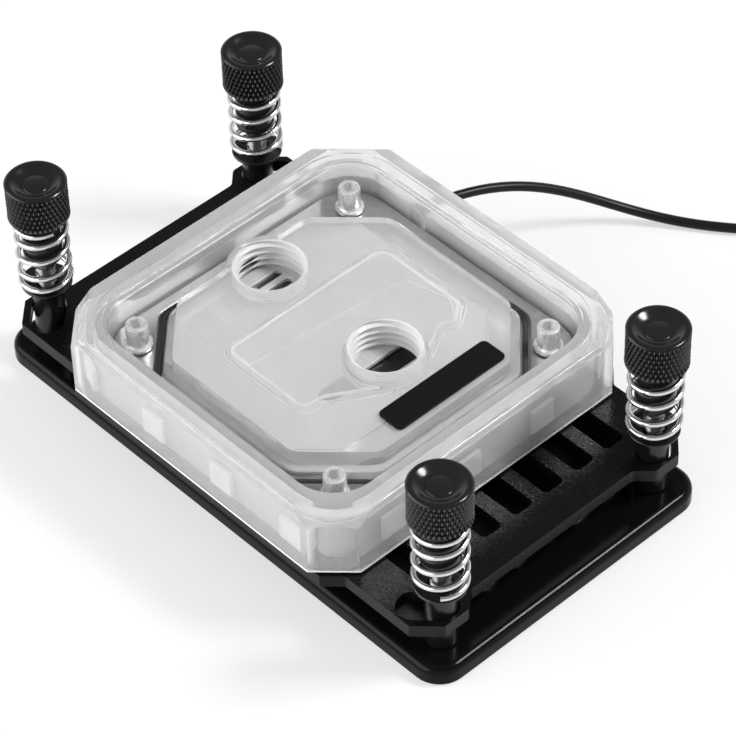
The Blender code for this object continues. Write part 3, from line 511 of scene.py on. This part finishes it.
def make_bracket():
    # One quarter of the outline, (x, y, radius) in millimetres
    quarter = [
        (48.8, 18.4, 1.4), (51.5, 21.1, 1.4), (51.5, 26.5, 0.4),
        (47.5, 30.5, 0.4), (33.0, 30.5, 0.8), (30.1, 33.4, 0.4),
    ]
    corners = []
    for sx, sy in ((1, 1), (-1, 1), (-1, -1), (1, -1)):
        part = quarter if sx == sy else quarter[::-1]
        corners += [(sx * x, sy * y, radius) for x, y, radius in part]
    loops = [rounded_mm(corners, 5), square(20.9 * MM, 2 * MM)]
    for sx, sy in CORNERS.values():
        inner_end, outer_end = Vector((sx * 45 * MM, sy * 27 * MM)), Vector((sx * SCREW_X, sy * SCREW_Y))
        loops.append(obround(inner_end, outer_end, 3.0 * MM, 12))
    slots, pitch, half_width = 7, 7, 2.15 * MM
    for side in (-1, 1):
        low, high = sorted((side * 30 * MM, side * 42.6 * MM))
        for index in range(slots):
            y = (index - slots // 2) * pitch * MM
            loops.append(rectangle(low, y - half_width, high, y + half_width, 0.9 * MM, 4))
    body = flat_solid("bracket_plate", loops, BRACKET_LOW, BRACKET_TOP, rim=0.22 * MM)
    dress(crisp(body), "satin_black_steel", stands_for=["mounting_bracket"])


# Light ring
def make_ring():
    well_half, well_corner = 29.8 * MM, 8 * MM
    channel_in, channel_out, channel_corner = 31.0 * MM, 33.2 * MM, 7.5 * MM
    edge, line = 0.25 * MM, 0.35 * MM
    shoulder, roof = RING_TOP - 2.7 * MM, RING_TOP - 2.2 * MM

    def outer(inset, leg):
        return octagon(RING_HALF - inset, leg * MM, 0.35 * MM)

    def well(grow):
        return square(well_half + grow, well_corner + grow, 9)

    def channel(reach):
        return square(reach, channel_corner, 9)

    levels = [
        (outer(edge, 6), RING_LOW), (outer(0.0, 6), RING_LOW + edge),
        (outer(0.0, 6), RING_LOW + edge + line), (outer(0.0, 6), shoulder - edge),
        (outer(0.0, 6.3), shoulder + edge), (outer(0.0, 9.4), RING_TOP - edge),
        (outer(0.1 * MM, 9.75), RING_TOP - 0.07 * MM), (outer(edge, 9.95), RING_TOP),
    ]
    # Inner edge: how far each step lies out from the well, and down from the top
    rim = [(2.1, 0.0), (2.0, 0.2), (0.8, 0.25), (0.6, 0.5), (0.1, 0.6), (0.0, 0.7)]
    levels += [(well(grow * MM), RING_TOP - drop * MM) for grow, drop in rim]
    levels += [
        (well(0.0), RING_LOW), (channel(channel_in), RING_LOW), (channel(channel_in), roof - edge),
        (channel(channel_in + edge), roof), (channel(channel_out - edge), roof),
        (channel(channel_out), roof - edge), (channel(channel_out), RING_LOW),
    ]
    body = loft("acrylic_ring", levels, closed=True)
    dress(crisp(body), "frosted_acrylic", stands_for=["light_ring"])
    # Painted highlight: the ring's bottom outer edge is made opaque white
    body.data.materials.append(FINISH["highlight_acrylic"])
    for face in body.data.polygons:
        x, y, z = (abs(value) for value in face.center)
        outside = max(x, y, (x + y) / math.sqrt(2)) > 34 * MM
        if outside and z < RING_LOW + edge + 0.9 * line:
            face.material_index = 1


def chip_facing(spot):
    """Outward angle at a place on the strip: square to the sides, radial round the corners."""
    strip_half, strip_corner = 31.5 * MM, 8.0 * MM
    flat = strip_half - strip_corner
    x = max(0.0, abs(spot.x) - flat) * math.copysign(1, spot.x)
    y = max(0.0, abs(spot.y) - flat) * math.copysign(1, spot.y)
    return math.atan2(y, x)


def make_chips():
    """Square lamp packages with a round lens, standing where the solids' chips stand."""
    half, edge = 2.5 * MM, 0.07 * MM
    back, front = -0.35 * MM, 0.35 * MM
    upright = Matrix(((0, 0, 1), (1, 0, 0), (0, 1, 0))).to_4x4()
    for number in range(1, 15):
        node = frame["nodes"]["led_chip_%02d" % number]
        corners = [node.matrix_world @ Vector(corner) for corner in node.bound_box]
        middle = sum(corners, Vector()) / len(corners)
        outline = square(half, 0.25 * MM, 3)
        body = loft("lamp_%02d" % number, [
            (outline, back), (outline, front - edge), (square(half - edge, 0.2 * MM, 3), front)])
        combine(body, prism("lens", circle(0, 0, 2.0 * MM, 28), 0.2 * MM, MM), "DIFFERENCE")
        turned = Matrix.Rotation(chip_facing(middle), 4, "Z")
        body.data.transform(Matrix.Translation(middle) @ turned @ upright)
        dress(crisp(body), "chip_white", stands_for=["led_chip_%02d" % number])


# Clear top
def thread_bore(x, y, low, high, sides=64):
    """Helical cutter: its radius follows the thread's flank round and up, and is widest at the mouth."""
    rows_per_turn, crest, flank, mouth = 8, 0.12, 0.76, 0.8 * MM
    rows = int((high - low) / (THREAD_PITCH / rows_per_turn)) + 1
    levels = []
    for k in range(rows + 1):
        z = low + (high - low) * k / rows
        below_mouth = min(1.0, max(0.0, (high - z) / mouth))
        loop = []
        for i in range(sides):
            angle = TURN * i / sides
            phase = (z / THREAD_PITCH - i / sides) % 1.0
            wave = min(max((1 - abs(2 * phase - 1) - crest) / flank, 0.0), 1.0)
            reach = THREAD_MINOR + (THREAD_MAJOR - THREAD_MINOR) * max(wave, 1 - below_mouth)
            loop.append((x + reach * math.cos(angle), y + reach * math.sin(angle)))
        levels.append((loop, z))
    return loft("bore", levels)


def make_chamber():
    """Cutter of the flow chamber: a rounded roof with a deeper part inside it."""
    roof, edge, spread = 17.0 * MM, 1.15 * MM, 1.5
    loop = rounded_mm([
        (-13.15, -16.2, 3.0), (8.1, -16.2, 3.0), (8.4, -11.7, 3.0), (14.1, -2.2, 5.0), (13.1, 7.8, 6.0),
        (9.6, 14.1, 2.0), (11.1, 16.8, 2.0), (7.6, 21.5, 2.5), (-13.15, 21.5, 4.0),
    ], 6)
    levels = [(loop, TOP_LOW - 0.5 * MM)]
    levels += [(shrink(loop, inset * spread), roof - edge + rise) for inset, rise in arc_steps(edge, 4)]
    body = loft("chamber", levels)
    loop = rounded_mm([
        (-6.8, -15.2, 1.0), (7.0, -15.2, 2.0), (7.4, -11, 2.0), (13.0, -2, 4.0), (12.1, 7.6, 5.0),
        (8.6, 13.9, 1.5), (9.9, 16.6, 1.5), (5.6, 19.7, 2.0), (-3.6, 17.5, 1.0),
    ], 6)
    deep = [(loop, TOP_LOW), (loop, roof + 0.3 * MM), (shrink(loop, 0.3 * MM), roof + 0.6 * MM)]
    combine(body, loft("deep", deep), "UNION")
    return body


def make_top():
    edge, corner, half_way = 0.35 * MM, 3 * MM, 0.3
    port_1, port_2 = PORTS

    def octo(half, leg, inset=0.0):
        return octagon(half * MM - inset, leg * MM - inset * (2 - math.sqrt(2)), corner - inset, 5)

    levels = []
    for half, leg, low, high in ((28.4, 12.5, TOP_LOW, RIM_TOP), (27.1, 10.7, RIM_TOP, SEAT_TOP)):
        levels += [(octo(half, leg), low), (octo(half, leg), high)]
    for half, leg, low, high in ((25.9, 10.3, SEAT_TOP, SHOULDER_TOP), (24.7, 10.1, SHOULDER_TOP, LID_TOP)):
        levels += [
            (octo(half, leg), low), (octo(half, leg), high - edge),
            (octo(half, leg, edge * half_way), high - edge * half_way), (octo(half, leg, edge), high),
        ]
    body = loft("clear_top", levels)
    bulge_radius = 7.55 * MM
    bulge = [(circle(*port_1, bulge_radius, 64), SHOULDER_TOP - 0.4 * MM)]
    for inset, rise in arc_steps(edge, 2):
        bulge.append((circle(*port_1, bulge_radius - inset, 64), LID_TOP - edge + rise))
    combine(body, loft("bulge", bulge), "UNION")
    recess = cut_rectangle(-26.5 * MM, 17.8 * MM, 22.8 * MM, 6.5 * MM)
    combine(body, prism("recess", recess, TOP_LOW - MM, 15.8 * MM), "DIFFERENCE")
    combine(body, make_chamber(), "DIFFERENCE")
    # The wall of the second port goes on down through the chamber
    sleeve = circle(*port_2, 7.3 * MM, 64)
    combine(body, prism("sleeve", sleeve, 15.65 * MM, 18 * MM), "UNION")
    for x, y in PORTS:
        combine(body, thread_bore(x, y, TOP_LOW - 2 * MM, LID_TOP + 0.3 * MM), "DIFFERENCE")
    dress(crisp(body), "clear_acrylic", stands_for=["acrylic_top"])
    body.data.materials.append(FINISH["cut_acrylic"])
    # Painted highlight on the chamber's edges, laid on by finish_top_faces
    body.data.materials.append(FINISH["highlight_acrylic"])
    finish_top_faces(body.data.polygons, cut=1, edge=2)


def finish_top_faces(faces, cut, edge):
    """Threads look cut, and the chamber's foot and crown get a painted highlight on their edges."""
    for face in faces:
        spot, slope = face.center, abs(face.normal.z)
        reach = min(math.hypot(spot.x - x, spot.y - y) for x, y in PORTS)
        inside = abs(spot.y) < 21.8 * MM and -14 * MM < spot.x < 15 * MM and reach > 7.5 * MM
        foot, crown = 15.8 * MM < spot.z < 16.3 * MM, 16.9 * MM < spot.z < 17.59 * MM
        if 5.6 * MM < reach < 6.7 * MM and slope < 0.95:
            face.material_index = cut
        elif inside and (foot or crown) and slope < 0.995:
            # painted highlight
            face.material_index = edge


# Cold plate, jet plate and seal
def make_cold_plate():
    floor = 12.1 * MM
    loops = [square(29.4 * MM, 7.6 * MM, 8)]
    loops += [circle(sx * CLAMP_HALF, sy * CLAMP_HALF, 1.8 * MM, 24) for sx, sy in CORNERS.values()]
    body = flat_solid("nickel_plate", loops, FLANGE_LOW, FLANGE_TOP, rim=0.15 * MM, segments=1)
    boss_half, boss_corner, edge, face = 20.5 * MM, 2 * MM, 0.3 * MM, 3.9 * MM

    def boss(inset):
        return square(boss_half - inset, boss_corner - inset)

    boss_levels = [(boss(edge), face), (boss(0.0), face + edge), (boss(0.0), FLANGE_LOW + MM)]
    combine(body, loft("boss", boss_levels), "UNION")
    pocket = rectangle(-24.8 * MM, -12 * MM, 17 * MM, 12 * MM, 0.5 * MM, 3)
    combine(body, prism("pocket", pocket, floor, FLANGE_TOP + MM), "DIFFERENCE")
    dress(crisp(body), "nickel_plated_copper", stands_for=["cold_plate"])
    make_fins(floor)


def make_fins(floor):
    count, pitch, half_thick, reach = 60, 0.4 * MM, 0.1 * MM, 13 * MM
    base, foot, top = floor + 0.01 * MM, floor + 0.3 * MM, FLANGE_TOP - 0.02 * MM
    profile = []
    for k in range(count):
        y = (k - (count - 1) / 2) * pitch
        near, far = y - half_thick, y + half_thick
        profile += [(near, foot), (near, top), (far, top), (far, foot)]
    profile += [(profile[-1][0], base), (profile[0][0], base)]
    work = bmesh.new()
    ends = [[work.verts.new((x, y, z)) for y, z in profile] for x in (-reach, reach)]
    for i in range(len(profile)):
        j = (i + 1) % len(profile)
        work.faces.new((ends[0][i], ends[0][j], ends[1][j], ends[1][i]))
    for end in ends:
        work.faces.new(end)
    bmesh.ops.recalc_face_normals(work, faces=work.faces)
    body = mesh_object("fin_block", work)
    # The dark finish on the fins is painted shade at the bottom of the pocket
    dress(body, "nickel_plated_copper", stands_for=["cold_plate"], finish="shaded_fin_copper")


def make_jet_plate():
    (x1, y1), (x2, _) = PORTS

    def slot(x, y, reach, radius):
        return obround((x, y - reach), (x, y + reach), radius, 8)

    loops = [cut_rectangle(-26.2 * MM, 17.5 * MM, 22.5 * MM, 6.5 * MM)]
    loops.append(slot(x2 - 1.1 * MM, 0.0, 8.9 * MM, 2.1 * MM))
    loops += [slot(x1 + index * 2.7 * MM, y1, 3.85 * MM, 0.75 * MM) for index in (-1, 0, 1)]
    body = flat_solid("jet_sheet", loops, JET_LOW, JET_TOP, rim=0.08 * MM, segments=1)
    dress(crisp(body), "stainless", stands_for=["jet_plate"])


def make_oring():
    half, leg = 26.7 * MM, (10.3 + 0.8 * (2 - math.sqrt(2))) * MM
    route = [(x, y, 17.3 * MM) for x, y in octagon(half, leg, 2.5 * MM, 6)]
    dress(wire("seal_ring", route, 0.48 * MM, 3, cyclic=True), "rubber", stands_for=["o_ring"])


# Screws, springs and standoffs
def make_clamp_screws():
    foot, top = 18.3 * MM, 23.0 * MM
    profile = in_mm([(0, 0), (1.15, 0), (1.6, 0), (1.85, -0.1), (1.95, -0.35)], top)
    profile += in_mm([(1.95, 0.8), (2.1, 0.6), (2.5, 0.45), (2.5, 0), (1.5, 0)], foot)
    profile += in_mm([(1.5, 9.1), (0, 9.1)])
    for name, (sx, sy) in CORNERS.items():
        at = (sx * CLAMP_HALF, sy * CLAMP_HALF)
        body = lathe("clamp_bolt_" + name, profile, 32, at)
        combine(body, prism("socket", circle(*at, 1.2 * MM, 6), top - 2.2 * MM, top + MM), "DIFFERENCE")
        dress(crisp(body), "chrome", stands_for=["clamp_screw_" + name], finish="screw_nickel")


def knurl(angle, height):
    """1 in the grooves, 0 on the tips of the diamonds."""
    around = KNURLS * angle / TURN
    along = (height - HEAD_LOW) / KNURL_PERIOD
    u, v = (around + along) % 1.0, (around - along) % 1.0
    ridge = min(1 - abs(2 * u - 1), 1 - abs(2 * v - 1))
    return 1 - min(1.0, ridge / KNURL_FLAT)


def thumb_profile():
    """Dish and rim, knurled side, then the smooth collar under the head."""
    radius, collar = 5.29 * MM, 3.4 * MM
    profile = in_mm([
        (0, -0.78), (2.1, -0.78), (2.2, -0.82), (2.3, -0.95), (2.45, -0.97), (2.8, -0.86), (3.2, -0.68),
        (3.6, -0.45), (4.0, -0.2), (4.3, -0.03), (4.4, 0), (4.85, 0), (5.1, -0.12),
    ], HEAD_TOP)
    low, high, rows = HEAD_LOW + 0.75 * MM, HEAD_TOP - 0.35 * MM, 48
    for k in range(rows + 1):
        fade = min(1.0, min(k, rows - k) / 2)
        profile.append((radius, high + (low - high) * k / rows, KNURL_DEPTH * fade))
    edge = 0.4 * MM
    profile += [
        (radius - 0.65 * MM, HEAD_LOW), (collar, HEAD_LOW), (collar, COLLAR_LOW + edge),
        (collar - edge, COLLAR_LOW), (0, COLLAR_LOW),
    ]
    return profile


def stem_profile():
    radius, root, pitch, tip = 1.75 * MM, 1.42 * MM, 0.7 * MM, 10.1 * MM
    profile = [(0, COLLAR_LOW), (radius, COLLAR_LOW)]
    for k in range(15):
        z = 20.6 * MM - k * pitch
        profile += [(radius, z), (root, z - pitch / 2)]
    return profile + [(1.35 * MM, tip), (0, tip)]


def make_thumbs():
    for name, (sx, sy) in CORNERS.items():
        at, rides = (sx * SCREW_X, sy * SCREW_Y), "thumb_" + name
        head = lathe("thumb_" + name, thumb_profile(), KNURLS * 8, at, knurl)
        dress(crisp(head, 40), "black_anodised", rides=rides, stands_for=["thumb_screw_" + name])
        stem = lathe("stem_" + name, stem_profile(), 32, at)
        dress(crisp(stem), "stainless", rides=rides, finish="stem_steel")


def make_springs():
    turns, low, high = 4.4, 17.7 * MM, 30.6 * MM
    radius, thickness, per_turn = 4.25 * MM, 0.5 * MM, 36
    first_turns = {"front": 0.0, "right": 0.45, "back": 0.2, "left": 0.7}
    count = int(turns * per_turn)
    for name, (sx, sy) in CORNERS.items():
        points = []
        for step in range(count + 1):
            share = step / count
            angle = TURN * (turns * share + first_turns[name]) - math.pi / 4
            climb = 0.4 * share + 0.6 * eased(share, 0.0, 1.0)
            points.append((sx * SCREW_X + radius * math.cos(angle), sy * SCREW_Y + radius * math.sin(angle),
                           low + (high - low) * climb))
        dress(wire("coil_spring_" + name, points, thickness), "chrome", stands_for=["spring_" + name])


def make_posts():
    profile = in_mm([(0, -6.3), (2.05, -6.3), (2.05, -0.2), (2.2, 0), (2.45, 0), (2.62, -0.08), (2.7, -0.3)],
                    POST_TOP)
    profile += in_mm([(2.7, 4.2), (2.6, 3.95), (2.4, 3.9), (1.9, 3.9), (1.9, 0), (0, 0)])
    washer = in_mm([
        (2.05, 16.5), (2.05, 16.9), (4.3, 16.9), (4.4, 16.8), (4.4, 16.5), (4.3, 16.4), (2.15, 16.4)])
    for name, (sx, sy) in CORNERS.items():
        at = (sx * SCREW_X, sy * SCREW_Y)
        post = lathe("post_" + name, profile, 48, at)
        dress(crisp(post), "black_oxide", stands_for=["standoff_" + name])
        ring = lathe_ring("washer_" + name, washer, 48, at)
        dress(crisp(ring), "black_oxide", stands_for=["spring_washer_" + name])


def make_label():
    x, y, half_x, half_y = 21.1 * MM, 2.5 * MM, 2.7 * MM, 12.1 * MM
    outline = rectangle(x - half_x, y - half_y, x + half_x, y + half_y, 1.0 * MM)
    body = flat_solid("label_tag", [outline], LABEL_LOW, LABEL_TOP, rim=0.1 * MM)
    dress(crisp(body), "label_black", stands_for=["label_plate"])


# The cord, its gland, its coiled rest and its connector
def natural_cubic(xs, ys):
    """Smooth curve through the given values, with no bend at its ends."""
    count = len(xs)
    steps = [b - a for a, b in zip(xs, xs[1:])]
    upper, right, bends = [0.0] * count, [0.0] * count, [0.0] * count
    for i in range(1, count - 1):
        slope_change = (ys[i + 1] - ys[i]) / steps[i] - (ys[i] - ys[i - 1]) / steps[i - 1]
        pivot = 2 * (xs[i + 1] - xs[i - 1]) - steps[i - 1] * upper[i - 1]
        upper[i] = steps[i] / pivot
        right[i] = (6 * slope_change - steps[i - 1] * right[i - 1]) / pivot
    for i in range(count - 2, 0, -1):
        bends[i] = right[i] - upper[i] * bends[i + 1]

    def value(x):
        i = min(max(bisect.bisect_right(xs, x) - 1, 0), count - 2)
        h = steps[i]
        a, b = (xs[i + 1] - x) / h, (x - xs[i]) / h
        return a * ys[i] + b * ys[i + 1] + ((a ** 3 - a) * bends[i] + (b ** 3 - b) * bends[i + 1]) * h * h / 6

    return value


def smooth_route(knots, count):
    reach = [0.0]
    for a, b in zip(knots, knots[1:]):
        reach.append(reach[-1] + math.dist(a, b))
    columns = [natural_cubic(reach, [knot[axis] for knot in knots]) for axis in range(3)]
    return [tuple(column(reach[-1] * step / (count - 1)) for column in columns) for step in range(count)]


def free_stretch(exit_at):
    """The cord's middle line from the gland down to the table and along it."""
    knots = [
        (-17.2, 40, 14.2), (-14.8, 47.6, 13.5), (-11.4, 55.9, 11), (-7.1, 63.5, 7),
        (-1.7, 69.9, 3.2), (5, 75.2, 1.3), (11.8, 80, 1.0), (18, 85.1, 1.0), (23, 89.5, 1.0),
    ]
    route = smooth_route([exit_at] + [(x * MM, y * MM, z * MM) for x, y, z in knots], 36)
    return [(x, y, max(z, CORD_REST)) for x, y, z in route]


def wind_coil(points, radius):
    """Adds the coil to the route, inward in the lower layer and outward in the upper; gives its centre."""
    far = points[-1]
    heading = math.atan2(far[1] - points[-2][1], far[0] - points[-2][0])
    ahead_x, ahead_y = math.cos(heading), math.sin(heading)
    aside = COIL_OUTER - radius
    ahead = math.sqrt(COIL_OUTER ** 2 - (aside - radius) ** 2) + PLUG_GAP
    centre = (far[0] + ahead * ahead_x + aside * ahead_y, far[1] + ahead * ahead_y - aside * ahead_x)
    lead_in, per_turn = 4, 32
    for step in range(1, lead_in):
        part = ahead * step / lead_in
        points.append((far[0] + part * ahead_x, far[1] + part * ahead_y, CORD_REST))
    start = heading + math.pi / 2
    turns = 5 + (start - COIL_LEAVE) % TURN / TURN
    count = int(turns * per_turn)
    for step in range(count + 1):
        turn = turns * step / count
        inward = eased(turn, 0.78, 1.0) + eased(turn, 1.78, 2.0)
        outward = eased(turn, 3.35, 3.58) + eased(turn, 4.35, 4.58)
        reach = aside - COIL_PITCH * (inward - outward)
        angle = start - TURN * turn
        points.append((centre[0] + reach * math.cos(angle), centre[1] + reach * math.sin(angle),
                       CORD_REST + COIL_PITCH * eased(turn, 2.6, 2.85)))
    return centre


def bend_to_plug(points):
    """Adds the last bend, from the coil to straight along x."""
    x, y, z = points[-1]
    bend, count = 3.7 * MM, 6
    first = COIL_LEAVE - math.pi / 2
    for step in range(1, count + 1):
        turned = first * (1 - step / count)
        points.append((x + bend * (math.sin(turned) - math.sin(first)),
                       y - bend * (math.cos(turned) - math.cos(first)), z))


def make_gland(exit_at):
    body = lathe("wire_gland", in_mm([
        (0, 2.2), (1.25, 2.2), (1.6, 2.0), (1.7, 0.9), (2.3, 0.8),
        (2.4, 0.65), (2.4, 0.3), (1.7, 0.3), (1.7, -1.0), (0, -1.0)]), 32)
    at_wall = Matrix.Translation((exit_at[0], RING_HALF, exit_at[2]))
    body.data.transform(at_wall @ Matrix.Rotation(-math.pi / 2, 4, "X"))
    return dress(crisp(body), "rubber", stands_for=["cord_gland"])


def make_connector(x, y):
    length, half_width = 12.5 * MM, 4 * MM
    outline = rectangle(x, y - half_width, x + length, y + half_width, 0.5 * MM, 3)
    body = flat_solid("connector_shell", [outline], 0.1 * MM, 5.7 * MM, rim=0.4 * MM)
    half_hole = 0.45 * MM
    for pin in (-2.54, 0.0, 2.54):
        pin_y = y + pin * MM
        hole = rectangle(x + 9 * MM, pin_y - half_hole, x + 14 * MM, pin_y + half_hole, 0.05 * MM, 2)
        combine(body, prism("pin_hole", hole, 2.4 * MM, 3.4 * MM), "DIFFERENCE")
    for side in (-1, 1):
        edge_y = y + side * half_width
        low_y, high_y = sorted((edge_y + side * MM, edge_y - side * 0.35 * MM))
        for rib in (2.4, 3.8, 5.2):
            notch = rectangle(x + rib * MM, low_y, x + (rib + 0.6) * MM, high_y, 0.1 * MM, 2)
            combine(body, prism("notch", notch, 0.9 * MM, 4.9 * MM), "DIFFERENCE")
    return dress(crisp(body), "plug_black", stands_for=["led_connector"])


def make_cord():
    radius, exit_at = 0.9 * MM, (-18.2 * MM, 37.0 * MM, 14.0 * MM)
    points = free_stretch(exit_at)
    centre = wind_coil(points, radius)
    bend_to_plug(points)
    body = wire("led_wire", points, radius)
    dress(body, "cord_black", stands_for=["led_cord", "cord_coil"])
    gland = make_gland(exit_at)
    plug = make_connector(centre[0] + COIL_OUTER + PLUG_GAP, centre[1])


make_cord()
make_backplate()
make_bracket()
make_cold_plate()
make_jet_plate()
make_ring()
make_chips()
make_top()
make_oring()
make_clamp_screws()
make_thumbs()
make_springs()
make_posts()
make_label()


# Floor, backdrop and light
def math_node(tree, operation, first, second):
    """Output socket of two values, each a socket or a number."""
    node = tree.nodes.new("ShaderNodeMath")
    node.operation = operation
    for socket, value in zip(node.inputs, (first, second)):
        if isinstance(value, float):
            socket.default_value = value
        else:
            tree.links.new(value, socket)
    return node.outputs[0]


def seen_rays(tree):
    """1 for rays from the camera, from gloss and through clear parts."""
    path = tree.nodes.new("ShaderNodeLightPath").outputs
    seen = math_node(tree, "MAXIMUM", path["Is Camera Ray"], path["Is Glossy Ray"])
    return math_node(tree, "MAXIMUM", seen, path["Is Transmission Ray"])


def make_stage():
    size, drop, glow = 6.0, 0.02 * MM, 0.54
    work = bmesh.new()
    bmesh.ops.create_grid(work, x_segments=1, y_segments=1, size=size)
    floor = mesh_object("floor", work)
    floor.location.z = -drop
    paper = bpy.data.materials.new("paper")
    paper.use_nodes = True
    tree = paper.node_tree
    shader = tree.nodes["Principled BSDF"]
    set_inputs(shader, {
        "Base Color": (0.3, 0.3, 0.3, 1), "Roughness": 0.9, "Specular IOR Level": 0.0,
        "Emission Color": (1, 1, 1, 1),
    })
    strength = math_node(tree, "MULTIPLY", seen_rays(tree), glow)
    tree.links.new(strength, shader.inputs["Emission Strength"])
    floor.data.materials.append(paper)


def make_world():
    """Seen rays meet a dome that darkens upward; the light itself is softer from one side."""
    world = bpy.data.worlds.new("studio")
    bpy.context.scene.world = world
    world.use_nodes = True
    tree = world.node_tree
    back = tree.nodes["Background"]
    place = tree.nodes.new("ShaderNodeTexCoord").outputs["Generated"]
    split = tree.nodes.new("ShaderNodeSeparateXYZ")
    tree.links.new(place, split.inputs["Vector"])
    dome = map_range(tree, split.outputs["Z"], (0.2, 0.55), (0.97, 0.25))
    side = tree.nodes.new("ShaderNodeVectorMath")
    side.operation = "DOT_PRODUCT"
    side.inputs[1].default_value = (-0.75, -0.66, 0.0)
    tree.links.new(place, side.inputs[0])
    soft = map_range(tree, side.outputs["Value"], (-1.0, 1.0), (0.42, 1.0))
    strength = map_range(tree, seen_rays(tree), (0.0, 1.0), (0.0, 1.0))
    tree.links.new(soft, strength.node.inputs["To Min"])
    tree.links.new(dome, strength.node.inputs["To Max"])
    tree.links.new(strength, back.inputs["Strength"])
    back.inputs["Color"].default_value = (1, 1, 1, 1)


def make_lamp(name, spot, target, size, power):
    data = bpy.data.lights.new(name, "AREA")
    data.shape = "RECTANGLE"
    data.size, data.size_y = size
    data.energy = power
    lamp = new_object(name, data)
    lamp.location = spot
    lamp.rotation_euler = (Vector(target) - Vector(spot)).to_track_quat("-Z", "Y").to_euler()


make_stage()
make_world()
make_lamp("key", spot=(0.38, 0.42, 0.7), target=(0, 0, 0), size=(0.22, 0.22), power=7.0)
make_lamp("fill", spot=(-0.45, -0.95, 0.45), target=(0, 0, 0.02), size=(1.5, 0.8), power=15.0)
scene = bpy.context.scene
scene.view_settings.view_transform = "Standard"
